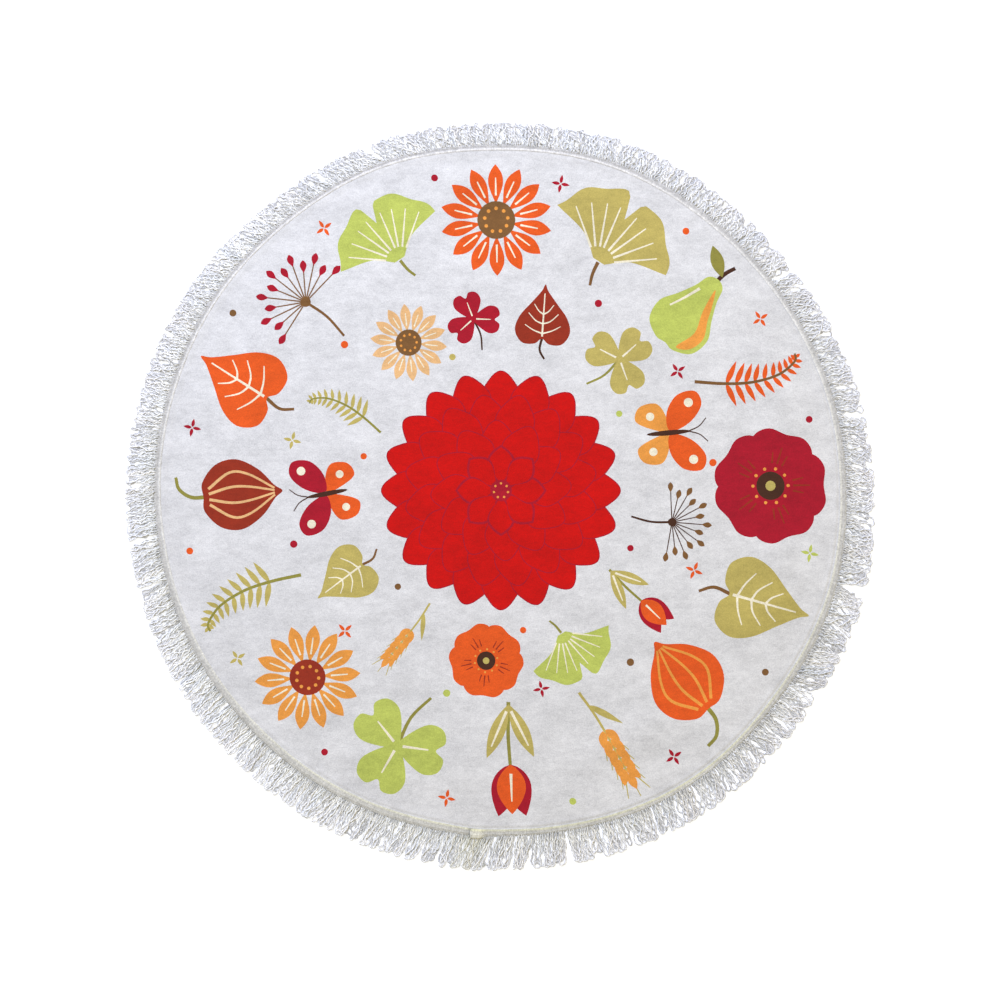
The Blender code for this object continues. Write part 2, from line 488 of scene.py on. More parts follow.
@dataclass(frozen=True)
class Figure:
    """Draws a figure of the wreath, about 1 high, upright at the origin. Later shapes lie over earlier ones.

    Args:
        main: Its first ink.
        second: Its second ink.
    """

    main: Dye
    second: Dye

    def stalk(self, *knots: tuple[float, float]) -> Patch:
        """A stalk in the second ink."""
        return line(self.second, 0.034, 0.026, *knots)

    def daisy(self) -> list[Patch]:
        """A flower with pointed petals round a seeded middle.

        Returns:
            Its shapes.
        """
        petals = blade(self.main, 0.37, 0.135, 0.6).moved(0.0, 0.13).repeated(14)
        veins = vein(0.7, 0.4, (0.0, 0.22), (0.0, 0.38)).repeated(14)
        return [*petals, *veins, oval(self.second, 0.0, 0.0, 0.34, 28), *seeds(0.105, 9, 0.034, 8)]

    def tulip(self) -> list[Patch]:
        """A cupped flower on its stem, between two long leaves.

        Returns:
            Its shapes.
        """
        patches = [line(Dye.OLIVE, 0.034, 0.028, (0.0, -0.5), (0.012, -0.2), (0.0, 0.1))]
        for side in (-1, 1):
            patches.append(blade(self.second, 0.50, 0.13, 0.5).turned(-side * 24).moved(0.0, -0.48))
            patches.append(vein(1.0, 0.5, (side * 0.02, -0.42), (side * 0.10, -0.25), (side * 0.16, -0.12)))
        petal = blade(self.main, 0.46, 0.24, 0.42)
        patches += [petal.turned(degrees).moved(0.0, 0.04) for degrees in (15, -15)]
        patches.append(blade(Dye.ORANGE, 0.43, 0.25, 0.45).moved(0.0, 0.04))
        return [*patches, vein(1.0, 0.4, (0.0, 0.12), (0.0, 0.36))]

    def fan_leaf(self) -> list[Patch]:
        """A fan-shaped leaf with a notch and spreading veins.

        Returns:
            Its shapes.
        """
        angle = np.radians(np.linspace(66, -66, 49))
        reach = 0.72 * (0.94 + 0.06 * np.cos(2 * angle)) + 0.016 * np.sin(11 * angle)
        reach -= 0.24 * np.exp(-((angle / 0.075) ** 2))
        rim = (0.0, -0.30) + np.stack([-np.sin(angle) * reach, np.cos(angle) * reach], axis=1)
        right = curve_through([rim[-1], (0.25, -0.12), (0.06, -0.27)], False, 5)[1:]
        leaf = Patch(np.vstack([rim, right, right[::-1] * (-1.0, 1.0)]), self.main)
        rib = vein(0.8, 0.4, (0.0, 0.16), (0.0, 0.36), (0.0, 0.56))
        ribs = [rib.turned(degrees).moved(0.0, -0.30) for degrees in (-52, -37, -22, -9, 9, 22, 37, 52)]
        return [self.stalk((0.0, -0.28), (0.015, -0.4), (0.05, -0.5)), leaf, *ribs]

    def heart_leaf(self) -> list[Patch]:
        """A broad pointed leaf with a midrib and paired veins.

        Returns:
            Its shapes.
        """
        half = [(0.0, 0.50), (0.045, 0.41), (0.17, 0.25), (0.32, 0.06), (0.37, -0.13), (0.27, -0.29)]
        half += [(0.10, -0.30), (0.0, -0.23)]
        patches = [self.stalk((0.0, -0.22), (-0.02, -0.38), (0.05, -0.5)), even_blob(self.main, half, 6)]
        patches.append(vein(1.0, 0.5, (0.0, -0.20), (0.0, 0.1), (0.0, 0.38)))
        for low, out, up in ((-0.16, 0.24, -0.05), (-0.03, 0.20, 0.11), (0.10, 0.13, 0.23)):
            for side in (-1, 1):
                knots = ((0.0, low), (side * out * 0.5, low + 0.04), (side * out, up))
                patches.append(vein(0.8, 0.4, *knots))
        return patches

    def wheat(self) -> list[Patch]:
        """A bearded ear on its straw, with one blade.

        Returns:
            Its shapes.
        """
        patches = [line(self.second, 0.026, 0.018, (0.03, -0.5), (0.0, -0.2), (0.0, 0.32))]
        patches.append(blade(self.second, 0.34, 0.06, 0.4).turned(34).moved(0.012, -0.36))
        beard = line(self.second, 0.012, 0.008, (0.0, 0.12), (0.0, 0.27))
        grain = blade(self.main, 0.155, 0.078, 0.45)
        for row in range(5):
            for side in (-1, 1):
                at = (side * 0.012, -0.10 + row * 0.095)
                patches += [beard.turned(-side * 21).moved(*at), grain.turned(-side * 27).moved(*at)]
        patches.append(line(self.second, 0.012, 0.008, (0.0, 0.42), (0.0, 0.56)))
        return [*patches, blade(self.main, 0.15, 0.075, 0.45).moved(0.0, 0.34)]

    def fern(self) -> list[Patch]:
        """A bowed frond with many narrow leaflets that shrink towards its curled tip.

        Returns:
            Its shapes.
        """
        knots = ((-0.10, -0.5), (-0.02, -0.25), (0.03, 0.0), (0.02, 0.25), (-0.06, 0.42), (-0.13, 0.44))
        spine = curve_through(knots, False, 12)
        ahead = np.degrees(np.arctan2(*np.gradient(spine, axis=0).T[::-1])) - 90.0
        patches = []
        for row, share in enumerate(np.linspace(0.22, 0.90, 11)):
            at = int(share * (len(spine) - 1))
            leaf = blade(self.main, 0.225 * (1.0 - 0.078 * row), 0.052 - 0.002 * row, 0.4)
            patches += [leaf.turned(ahead[at] - side * 66).moved(*spine[at]) for side in (-1, 1)]
        return [*patches, line(self.second, 0.030, 0.018, *knots)]

    def poppy(self) -> list[Patch]:
        """A round open flower with a dark, dotted middle.

        Returns:
            Its shapes.
        """
        half = [(0.0, 0.47), (0.16, 0.48), (0.27, 0.38), (0.25, 0.20), (0.10, 0.04), (0.0, 0.0)]
        patches = even_blob(self.main, half, 5).repeated(5)
        for index in range(5):
            for spread in (-13, 0, 13):
                fine = vein(0.7, 0.4, (0.0, 0.20), (0.0, 0.35 - abs(spread) * 0.004), dye=self.second)
                patches.append(fine.turned(spread).turned(index * 72))
        patches += [oval(Dye.BARK, 0.0, 0.0, 0.25, 24), *seeds(0.155, 10, 0.03, 8)]
        return [*patches, oval(Dye.KHAKI, 0.0, 0.0, 0.09, 14)]

    def pear(self) -> list[Patch]:
        """A pear with a blush, its stalk and one leaf.

        Returns:
            Its shapes.
        """
        half = [(0.0, 0.29), (0.085, 0.25), (0.125, 0.12), (0.20, -0.04), (0.285, -0.20), (0.25, -0.38)]
        half += [(0.10, -0.465), (0.0, -0.455)]
        blush = [(0.04, 0.20), (0.11, 0.08), (0.17, -0.06), (0.245, -0.21), (0.21, -0.36), (0.10, -0.42)]
        blush += [(0.15, -0.22), (0.08, -0.02)]
        return [
            line(Dye.BARK, 0.042, 0.034, (0.0, 0.25), (0.01, 0.36), (0.05, 0.47)),
            blade(Dye.OLIVE, 0.30, 0.12, 0.5).turned(58).moved(0.015, 0.33),
            even_blob(self.main, half, 6),
            blob(self.second, blush, 5),
            vein(1.0, 0.6, (-0.075, 0.12), (-0.13, -0.04), (-0.185, -0.17)),
        ]

    def clover(self) -> list[Patch]:
        """Three heart-shaped leaves on a stalk.

        Returns:
            Its shapes.
        """
        half = [(0.0, 0.36), (0.08, 0.44), (0.20, 0.40), (0.23, 0.26), (0.12, 0.09), (0.0, 0.0)]
        parts = (even_blob(self.main, half, 5), vein(1.0, 0.5, (0.0, 0.05), (0.0, 0.17), (0.0, 0.29)))
        leaves = [part.turned(degrees).moved(0.0, 0.04) for degrees in (0, 112, -112) for part in parts]
        return [self.stalk((0.0, 0.02), (0.02, -0.25), (-0.05, -0.5)), *leaves]

    def butterfly(self) -> list[Patch]:
        """A butterfly with spread wings.

        Returns:
            Its shapes.
        """
        upper = [(0.02, 0.02), (0.10, 0.26), (0.30, 0.42), (0.47, 0.36), (0.44, 0.14), (0.24, 0.0)]
        lower = [(0.02, 0.0), (0.22, -0.02), (0.36, -0.12), (0.33, -0.32), (0.17, -0.38), (0.06, -0.20)]
        patches = []
        for side in (-1.0, 1.0):
            feeler = ((0.0, 0.24), (side * 0.05, 0.37), (side * 0.14, 0.46))
            patches += [
                blob(self.second, np.array(lower) * (side, 1.0), 6),
                blob(self.main, np.array(upper) * (side, 1.0), 6),
                oval(Dye.CREAM, side * 0.34, 0.27, 0.11, 14),
                oval(Dye.CREAM, side * 0.21, -0.20, 0.10, 14),
                line(Dye.BARK, 0.016, 0.012, *feeler),
            ]
        return [*patches, oval(Dye.BARK, 0.0, 0.0, 0.062, 22, up=0.52)]

    def seed_head(self) -> list[Patch]:
        """A spread of seeds on fine stalks.

        Returns:
            Its shapes.
        """
        patches = [line(self.second, 0.028, 0.024, (0.0, 0.0), (0.015, -0.25), (-0.03, -0.5))]
        for index in range(13):
            reach = 0.30 if index % 2 else 0.38
            fine = line(self.second, 0.014, 0.012, (0.0, 0.0), (0.0, reach))
            seed = blade(self.main, 0.13, 0.066, 0.6).moved(0.0, reach - 0.02)
            patches += [part.turned(-96 + index * 16) for part in (fine, seed)]
        return [*patches, oval(self.second, 0.0, 0.0, 0.10, 14)]

    def lantern(self) -> list[Patch]:
        """A ribbed seed lantern on a bowed stalk.

        Returns:
            Its shapes.
        """
        half = [(0.0, 0.22), (0.13, 0.22), (0.28, 0.09), (0.315, -0.10), (0.21, -0.29), (0.06, -0.42)]
        patches = [line(Dye.OLIVE, 0.036, 0.028, (0.0, 0.20), (0.01, 0.33), (0.09, 0.43), (0.20, 0.45))]
        patches.append(even_blob(self.main, [*half, (0.0, -0.49)], 6))
        for out in (-0.20, -0.07, 0.07, 0.20):
            knots = ((out * 0.35, 0.17), (out, -0.03), (out * 0.86, -0.2), (out * 0.15, -0.42))
            patches.append(vein(1.0, 0.7, *knots, dye=self.second))
        return patches

    def dot(self) -> list[Patch]:
        """A plain spot."""
        return [oval(self.main, 0.0, 0.0, 1.0, 18)]

    def spark(self) -> list[Patch]:
        """A small star of four thin blades."""
        return blade(self.main, 0.5, 0.20, 0.42).moved(0.0, 0.04).repeated(4)

    def dahlia(self) -> list[Patch]:
        """A large full flower: rings of broad petals, each ring over the one outside it.

        Returns:
            Its shapes.
        """
        patches = [oval(self.second, 0.0, 0.0, 0.80, 60)]
        rings = ((20, 0.26, 0.500, 0.0), (16, 0.17, 0.405, 11.0), (12, 0.09, 0.295, 4.0))
        for count, inner, outer, start in rings:
            wide = math.pi * outer / count * 1.06
            petals = []
            for inset, dye in ((0.0, self.second), (LINE * 0.16, self.main)):
                half = [(0.0, outer - inset), (wide * 0.55 - inset, outer - wide * 0.38 - inset * 0.4)]
                half += [(wide - inset, outer - wide * 1.35), (wide * 0.55 - inset, inner + 0.02)]
                petals.append(even_blob(dye, [*half, (0.0, inner)], 7))
            for index in range(count):
                patches += [petal.turned(start + index * 360 / count) for petal in petals]
        below = blade(self.second, 0.17, 0.115, 0.6).moved(0.0, 0.02)
        above = Patch(below.outline * (0.86, 0.93), self.main).moved(0.0, 0.003)
        patches += [petal.turned(index * 45.0) for index in range(8) for petal in (below, above)]
        return [*patches, oval(self.second, 0.0, 0.0, 0.090, 30), *seeds(0.030, 7, 0.010, 10)]


class Motif(Enum):
    """The figures of the wreath, each with its drawing."""

    DAISY = member(Figure.daisy)
    TULIP = member(Figure.tulip)
    FAN_LEAF = member(Figure.fan_leaf)
    HEART_LEAF = member(Figure.heart_leaf)
    WHEAT = member(Figure.wheat)
    FERN = member(Figure.fern)
    POPPY = member(Figure.poppy)
    PEAR = member(Figure.pear)
    CLOVER = member(Figure.clover)
    BUTTERFLY = member(Figure.butterfly)
    SEED_HEAD = member(Figure.seed_head)
    LANTERN = member(Figure.lantern)
    DOT = member(Figure.dot)
    SPARK = member(Figure.spark)
    DAHLIA = member(Figure.dahlia)

    def drawn(self, main: Dye, second: Dye) -> list[Patch]:
        """The figure in its two inks."""
        return self.value(Figure(main, second))


# The wreath: figure, angle in degrees, distance from the middle, size, own turn in degrees, inks
WREATH = (
    (Motif.DAHLIA, 90.0, 0.000, 0.484, 0.0, Dye.RED, Dye.CRIMSON),
    (Motif.DAISY, 91.0, 0.545, 0.225, 0.0, Dye.ORANGE, Dye.BROWN),
    (Motif.FAN_LEAF, 66.0, 0.560, 0.220, -8.0, Dye.KHAKI, Dye.BROWN),
    (Motif.PEAR, 43.5, 0.550, 0.225, 6.0, Dye.LIME, Dye.AMBER),
    (Motif.FERN, 24.0, 0.555, 0.225, -10.0, Dye.ORANGE, Dye.BROWN),
    (Motif.POPPY, 1.0, 0.545, 0.230, 0.0, Dye.CRIMSON, Dye.RUST),
    (Motif.HEART_LEAF, -23.5, 0.555, 0.225, 8.0, Dye.KHAKI, Dye.BROWN),
    (Motif.LANTERN, -46.0, 0.550, 0.240, -5.0, Dye.ORANGE, Dye.AMBER),
    (Motif.WHEAT, -66.5, 0.545, 0.225, 6.0, Dye.AMBER, Dye.KHAKI),
    (Motif.TULIP, -88.0, 0.545, 0.235, 0.0, Dye.CRIMSON, Dye.KHAKI),
    (Motif.CLOVER, -112.0, 0.550, 0.220, -8.0, Dye.LIME, Dye.OLIVE),
    (Motif.DAISY, -136.0, 0.545, 0.215, 12.0, Dye.AMBER, Dye.RUST),
    (Motif.FERN, -158.0, 0.555, 0.230, 8.0, Dye.KHAKI, Dye.OLIVE),
    (Motif.LANTERN, -179.0, 0.550, 0.225, 4.0, Dye.RUST, Dye.TAN),
    (Motif.HEART_LEAF, 157.5, 0.555, 0.215, -10.0, Dye.ORANGE, Dye.BROWN),
    (Motif.SEED_HEAD, 136.0, 0.545, 0.205, 6.0, Dye.CRIMSON, Dye.BROWN),
    (Motif.FAN_LEAF, 114.5, 0.555, 0.190, 8.0, Dye.LIME, Dye.OLIVE),
    (Motif.HEART_LEAF, 76.0, 0.350, 0.150, 10.0, Dye.RUST, Dye.BARK),
    (Motif.CLOVER, 48.0, 0.352, 0.155, -6.0, Dye.KHAKI, Dye.OLIVE),
    (Motif.BUTTERFLY, 19.0, 0.358, 0.170, -14.0, Dye.ORANGE, Dye.AMBER),
    (Motif.SEED_HEAD, -10.5, 0.350, 0.165, 6.0, Dye.BROWN, Dye.BARK),
    (Motif.TULIP, -38.0, 0.352, 0.165, -6.0, Dye.CRIMSON, Dye.KHAKI),
    (Motif.FAN_LEAF, -66.0, 0.352, 0.150, 8.0, Dye.LIME, Dye.OLIVE),
    (Motif.POPPY, -95.0, 0.345, 0.150, 0.0, Dye.ORANGE, Dye.RUST),
    (Motif.WHEAT, -123.0, 0.352, 0.165, -6.0, Dye.AMBER, Dye.KHAKI),
    (Motif.HEART_LEAF, -151.0, 0.352, 0.155, 8.0, Dye.KHAKI, Dye.BROWN),
    (Motif.BUTTERFLY, -179.0, 0.350, 0.160, 10.0, Dye.CRIMSON, Dye.ORANGE),
    (Motif.FERN, 152.0, 0.352, 0.165, 4.0, Dye.KHAKI, Dye.OLIVE),
    (Motif.DAISY, 122.0, 0.350, 0.155, 0.0, Dye.TAN, Dye.BROWN),
    (Motif.CLOVER, 99.0, 0.345, 0.120, 12.0, Dye.CRIMSON, Dye.BARK),
)

# Small figures between the large ones: figure, angle, distance from the middle, size, ink
SPRINKLE = (
    (Motif.SPARK, 79.0, 0.628, 0.034, Dye.CRIMSON),
    (Motif.DOT, 54.5, 0.645, 0.014, Dye.ORANGE),
    (Motif.SPARK, 33.5, 0.632, 0.034, Dye.ORANGE),
    (Motif.DOT, 13.0, 0.640, 0.014, Dye.CRIMSON),
    (Motif.SPARK, -11.5, 0.634, 0.034, Dye.LIME),
    (Motif.DOT, -34.5, 0.645, 0.014, Dye.BROWN),
    (Motif.SPARK, -57.0, 0.632, 0.034, Dye.CRIMSON),
    (Motif.DOT, -77.0, 0.642, 0.014, Dye.LIME),
    (Motif.SPARK, -100.0, 0.634, 0.034, Dye.ORANGE),
    (Motif.DOT, -124.0, 0.640, 0.014, Dye.CRIMSON),
    (Motif.SPARK, -147.5, 0.632, 0.034, Dye.KHAKI),
    (Motif.DOT, -169.0, 0.640, 0.014, Dye.ORANGE),
    (Motif.SPARK, 168.5, 0.634, 0.034, Dye.CRIMSON),
    (Motif.DOT, 146.5, 0.645, 0.014, Dye.BROWN),
    (Motif.SPARK, 124.0, 0.634, 0.034, Dye.ORANGE),
    (Motif.DOT, 102.0, 0.640, 0.014, Dye.CRIMSON),
    (Motif.DOT, 62.5, 0.425, 0.015, Dye.CRIMSON),
    (Motif.SPARK, 34.0, 0.432, 0.034, Dye.CRIMSON),
    (Motif.DOT, 7.5, 0.432, 0.015, Dye.ORANGE),
    (Motif.SPARK, -22.5, 0.420, 0.034, Dye.ORANGE),
    (Motif.DOT, -53.0, 0.430, 0.015, Dye.BROWN),
    (Motif.SPARK, -78.5, 0.408, 0.032, Dye.CRIMSON),
    (Motif.DOT, -105.0, 0.425, 0.015, Dye.LIME),
    (Motif.SPARK, -138.0, 0.425, 0.034, Dye.ORANGE),
    (Motif.DOT, -165.5, 0.432, 0.015, Dye.CRIMSON),
    (Motif.SPARK, 166.5, 0.432, 0.034, Dye.KHAKI),
    (Motif.DOT, 137.0, 0.430, 0.015, Dye.ORANGE),
    (Motif.DOT, 33.0, 0.285, 0.013, Dye.LIME),
    (Motif.DOT, -24.0, 0.285, 0.013, Dye.CRIMSON),
    (Motif.DOT, -81.0, 0.285, 0.013, Dye.ORANGE),
    (Motif.DOT, -137.0, 0.285, 0.013, Dye.BROWN),
    (Motif.DOT, 166.0, 0.285, 0.013, Dye.ORANGE),
    (Motif.DOT, 110.0, 0.285, 0.013, Dye.KHAKI),
)


@dataclass(frozen=True)
class Print:
    """The print on the cloth's face.

    Args:
        finest: The shortest step that an outline keeps.
    """

    finest: float = 0.0009

    def patches(self) -> list[Patch]:
        """Draws the whole print.

        Returns:
            Its shapes in the cloth's frame, each over those before it.
        """
        small = [(motif, angle, radius, size, 0.0, ink, ink) for motif, angle, radius, size, ink in SPRINKLE]
        found = []
        for motif, angle, radius, size, turn, main, second in [*WREATH, *small]:
            middle = radius * np.array([math.cos(math.radians(angle)), math.sin(math.radians(angle))])
            for patch in motif.drawn(main, second):
                patch = Patch(patch.outline * size, patch.dye).turned(angle - 90.0 + turn).moved(*middle)
                found.append(patch.anticlockwise().thinned(self.finest))
        return found


# ---------------------------------------------------------------------------------------------------
# Finishes

Socket = bpy.types.NodeSocket
Inputs = dict[str | int, object]


class Nodes:
    """Adds nodes to a material or a group, and joins them."""

    def __init__(self, tree: bpy.types.NodeTree) -> None:
        """Keeps the tree that the nodes go into."""
        self.tree = tree

    def feed(self, node: bpy.types.Node, name: str | int, value: object) -> None:
        """Gives a node's input a value, or joins another node's output to it.

        Args:
            node: The node.
            name: The input's name or number.
            value: The value or the output.
        """
        if isinstance(value, Socket):
            self.tree.links.new(value, node.inputs[name])
        else:
            node.inputs[name].default_value = value

    def add(self, kind: str, inputs: Inputs | None = None, **settings: object) -> bpy.types.Node:
        """Adds a node.

        Args:
            kind: The node's type.
            inputs: Values, or other nodes' outputs, for its inputs.
            **settings: Its own settings.

        Returns:
            The new node.
        """
        node = self.tree.nodes.new(kind)
        node.location = (len(self.tree.nodes) * 190.0, 0.0)
        for name, value in settings.items():
            setattr(node, name, value)
        for name, value in (inputs or {}).items():
            self.feed(node, name, value)
        return node

    def maths(self, operation: str, first: object, second: object = 0.0) -> Socket:
        """The result of a sum on two values."""
        return self.add("ShaderNodeMath", {0: first, 1: second}, operation=operation).outputs[0]

    def plus(self, first: object, second: object) -> Socket:
        """Two values added."""
        return self.maths("ADD", first, second)

    def times(self, first: object, second: object) -> Socket:
        """Two values multiplied."""
        return self.maths("MULTIPLY", first, second)

    def ripple(self, value: object, pitch: float) -> Socket:
        """A sine wave of a value, from -1 to 1, with this pitch."""
        return self.maths("SINE", self.times(value, 2 * math.pi / pitch))

    def spread(self, value: object, low: float, high: float, start: float = 0.0, end: float = 1.0) -> Socket:
        """Maps a value from one range to another, and keeps it inside."""
        inputs = {"Value": value, "From Min": low, "From Max": high, "To Min": start, "To Max": end}
        return self.add("ShaderNodeMapRange", inputs).outputs[0]

    def lean(self, value: object, low: float, high: float, depth: object) -> Socket:
        """Maps a value's range to one from minus a depth to the depth."""
        return self.times(self.spread(value, low, high, -1.0, 1.0), depth)

    def tint(self, colour: object, by: object) -> Socket:
        """A colour made lighter or darker by a value."""
        return self.add("ShaderNodeVectorMath", {0: colour, "Scale": by}, operation="SCALE").outputs[0]

    def product(self, first: object, second: object) -> Socket:
        """Two colours or places multiplied, channel by channel."""
        return self.add("ShaderNodeVectorMath", {0: first, 1: second}, operation="MULTIPLY").outputs[0]

    def noise(self, where: object, scale: object, detail: float, roughness: float) -> Socket:
        """A noise value from 0 to 1."""
        inputs = {"Vector": where, "Scale": scale, "Detail": detail, "Roughness": roughness}
        return self.add("ShaderNodeTexNoise", inputs, noise_dimensions="3D").outputs[0]

    def place(self) -> Socket:
        """The place on the object."""
        return self.add("ShaderNodeTexCoord").outputs["Object"]

    def stored(self, name: str) -> Socket:
        """A colour that the mesh holds."""
        return self.add("ShaderNodeAttribute", attribute_name=name).outputs["Color"]

    def run(self) -> Socket:
        """Metres along a yarn or the tape, and the place across it."""
        return self.add("ShaderNodeUVMap", uv_map="run").outputs[0]


def new_group(name: str, values: dict[str, object]) -> tuple[Nodes, Sequence[Socket]]:
    """Makes a shader group that puts out a colour and a height.

    Args:
        name: The group's name.
        values: Its inputs and their first values: a number, a colour, or none for a vector.

    Returns:
        The group's nodes and its inputs' sockets.
    """
    group = bpy.data.node_groups.new(name, "ShaderNodeTree")
    kinds = {float: "NodeSocketFloat", tuple: "NodeSocketColor", type(None): "NodeSocketVector"}
    for label, value in values.items():
        socket = group.interface.new_socket(name=label, in_out="INPUT", socket_type=kinds[type(value)])
        if value is not None:
            socket.default_value = value
    for label, kind in (("Colour", "NodeSocketColor"), ("Height", "NodeSocketFloat")):
        group.interface.new_socket(name=label, in_out="OUTPUT", socket_type=kind)
    nodes = Nodes(group)
    return nodes, nodes.add("NodeGroupInput").outputs


def nap_group() -> bpy.types.NodeTree:
    """Makes the lie of a short pile: a mottle drawn out to streaks, and the tufts' own grain.

    Returns:
        The shader group.
    """
    values = {"Vector": None, "Colour": (0.8, 0.8, 0.8, 1.0), "Mottle Scale": 8.0, "Mottle Stretch": 1.8}
    values |= {"Mottle Depth": 0.06, "Grain Scale": 380.0, "Grain Depth": 0.05, "Tuft Depth": 0.04}
    nodes, taken = new_group("pile_nap", values)
    across = nodes.add("ShaderNodeCombineXYZ", {0: 1.0, 1: taken["Mottle Stretch"], 2: 1.0}).outputs[0]
    mottle = nodes.noise(nodes.product(taken["Vector"], across), taken["Mottle Scale"], 8.0, 0.95)
    grain = nodes.noise(taken["Vector"], taken["Grain Scale"], 1.0, 0.5)
    tuft = nodes.noise(taken["Vector"], nodes.times(taken["Grain Scale"], 3.6), 1.0, 0.6)
    lean = nodes.lean(mottle, 0.35, 0.65, taken["Mottle Depth"])
    lean = nodes.plus(lean, nodes.lean(grain, 0.3, 0.7, taken["Grain Depth"]))
    lean = nodes.plus(lean, nodes.lean(tuft, 0.3, 0.7, taken["Tuft Depth"]))
    height = nodes.plus(nodes.times(mottle, 0.7), nodes.times(grain, 0.3))
    height = nodes.plus(height, nodes.times(tuft, 0.05))
    colour = nodes.tint(taken["Colour"], nodes.plus(lean, 1.0))
    nodes.add("NodeGroupOutput", {"Colour": colour, "Height": height})
    return nodes.tree


def ply_group() -> bpy.types.NodeTree:
    """Makes twisted yarn seen along its run: the plies' slanting furrows, darkened with painted shade, and
    loose fibres.

    Returns:
        The shader group.
    """
    values = {"Run": None, "Vector": None, "Colour": (0.8, 0.8, 0.8, 1.0), "Plies": 2.0, "Turns": 90.0}
    nodes, taken = new_group("yarn_ply", values | {"Furrow Depth": 0.12, "Fibre Depth": 0.08})
    run = nodes.add("ShaderNodeSeparateXYZ", {0: taken["Run"]}).outputs
    turns = nodes.plus(nodes.times(run[0], taken["Turns"]), nodes.times(run[1], taken["Plies"]))
    furrow = nodes.spread(nodes.ripple(turns, 1.0), -1.0, 1.0)
    fibre = nodes.noise(taken["Vector"], 1500.0, 2.0, 0.6)
    clump = nodes.noise(taken["Vector"], 260.0, 1.0, 0.5)
    fuzz = nodes.plus(nodes.spread(fibre, 0.3, 0.7, -0.6, 0.6), nodes.spread(clump, 0.3, 0.7, -0.5, 0.5))
    # Painted shade darkens the furrows between the plies
    lean = nodes.lean(furrow, 0.0, 1.0, taken["Furrow Depth"])
    lean = nodes.plus(lean, nodes.times(fuzz, taken["Fibre Depth"]))
    height = nodes.plus(nodes.times(furrow, 0.7), nodes.times(fibre, 0.3))
    colour = nodes.tint(taken["Colour"], nodes.plus(lean, 1.0))
    nodes.add("NodeGroupOutput", {"Colour": colour, "Height": height})
    return nodes.tree


@dataclass(frozen=True)
class Finish:
    """A material with a shader of its own.

    Args:
        name: The material's name.
        roughness: The shader's roughness.
        sheen: How much sheen the fibres give.
        bump: How deep the relief is, in metres.
        strength: How strongly the relief turns the light.
    """

    name: str
    roughness: float = 0.9
    sheen: float = 0.0
    bump: float = 0.0005
    strength: float = 0.5

    def start(self) -> tuple[bpy.types.Material, Nodes, bpy.types.Node]:
        """Makes the material with its plain shader.

        Returns:
            The material, its nodes and the shader.
        """
        made = bpy.data.materials.new(self.name)
        made.use_nodes = True
        shader = made.node_tree.nodes["Principled BSDF"]
        shader.inputs["Roughness"].default_value = self.roughness
        shader.inputs["Specular IOR Level"].default_value = 0.12
        shader.inputs["Sheen Weight"].default_value = self.sheen
        shader.inputs["Sheen Roughness"].default_value = 0.6
        return made, Nodes(made.node_tree), shader

    def dress(self, nodes: Nodes, shader: bpy.types.Node, *looks: Socket) -> None:
        """Joins a colour, a roughness and a relief to the shader.

        Args:
            nodes: The material's nodes.
            shader: The shader.
            *looks: The colour, the roughness and the relief's height over the surface.
        """
        colour, rough, height = looks
        relief = {"Strength": self.strength, "Distance": self.bump, "Height": height}
        nodes.feed(shader, "Base Color", colour)
        nodes.feed(shader, "Roughness", rough)
        nodes.feed(shader, "Normal", nodes.add("ShaderNodeBump", relief).outputs[0])


@dataclass(frozen=True)
class VelourFinish(Finish):
    """Printed velour: short cut pile that lies in streaks.

    Args:
        streak_turn: How far the streaks slant, in degrees.
        mottle: How deep the streaks' shading is.
        grain: How deep the shading of the tufts' clumps is.
        tuft: How deep the tufts' own shading is.
    """

    streak_turn: float = -2.0
    mottle: float = 0.19
    grain: float = 0.08
    tuft: float = 0.09

    def build(self, nap: bpy.types.NodeTree) -> bpy.types.Material:
        """Makes the material.

        Args:
            nap: The group that lays the pile.

        Returns:
            The material.
        """
        made, nodes, shader = self.start()
        slant = (0.0, 0.0, math.radians(self.streak_turn))
        place = nodes.add("ShaderNodeMapping", {"Vector": nodes.place(), "Rotation": slant}).outputs[0]
        inputs = {"Vector": place, "Colour": nodes.stored("ink"), "Mottle Depth": self.mottle}
        inputs |= {"Grain Depth": self.grain, "Tuft Depth": self.tuft}
        pile = nodes.add("ShaderNodeGroup", inputs, node_tree=nap).outputs
        rough = nodes.spread(pile["Height"], 0.35, 0.65, 0.84, 0.98)
        self.dress(nodes, shader, pile["Colour"], rough, pile["Height"])
        return made


@dataclass(frozen=True)
class YarnFinish(Finish):
    """Twisted cotton, for loops and thread.

    Args:
        colour: The yarn's linear colour.
        plies: How many plies are twisted together.
        turns: Turns of the twist in a metre.
        furrow: How much darker the furrow between plies is painted, as painted shade.
        fibre: How much the fibres' own shades differ.
    """

    colour: Colour = (0.87, 0.868, 0.865)
    plies: float = 2.0
    turns: float = 78.0
    furrow: float = 0.20
    fibre: float = 0.12

    def build(self, ply: bpy.types.NodeTree) -> bpy.types.Material:
        """Makes the material.

        Args:
            ply: The group that twists the yarn.

        Returns:
            The material.
        """
        made, nodes, shader = self.start()
        base = nodes.product(nodes.stored("shade"), self.colour)
        inputs = {"Run": nodes.run(), "Vector": nodes.place(), "Colour": base, "Plies": self.plies}
        inputs |= {"Turns": self.turns, "Furrow Depth": self.furrow, "Fibre Depth": self.fibre}
        twist = nodes.add("ShaderNodeGroup", inputs, node_tree=ply).outputs
        rough = nodes.spread(twist["Height"], 0.0, 1.0, 0.92, 0.72)
        self.dress(nodes, shader, twist["Colour"], rough, twist["Height"])
        return made


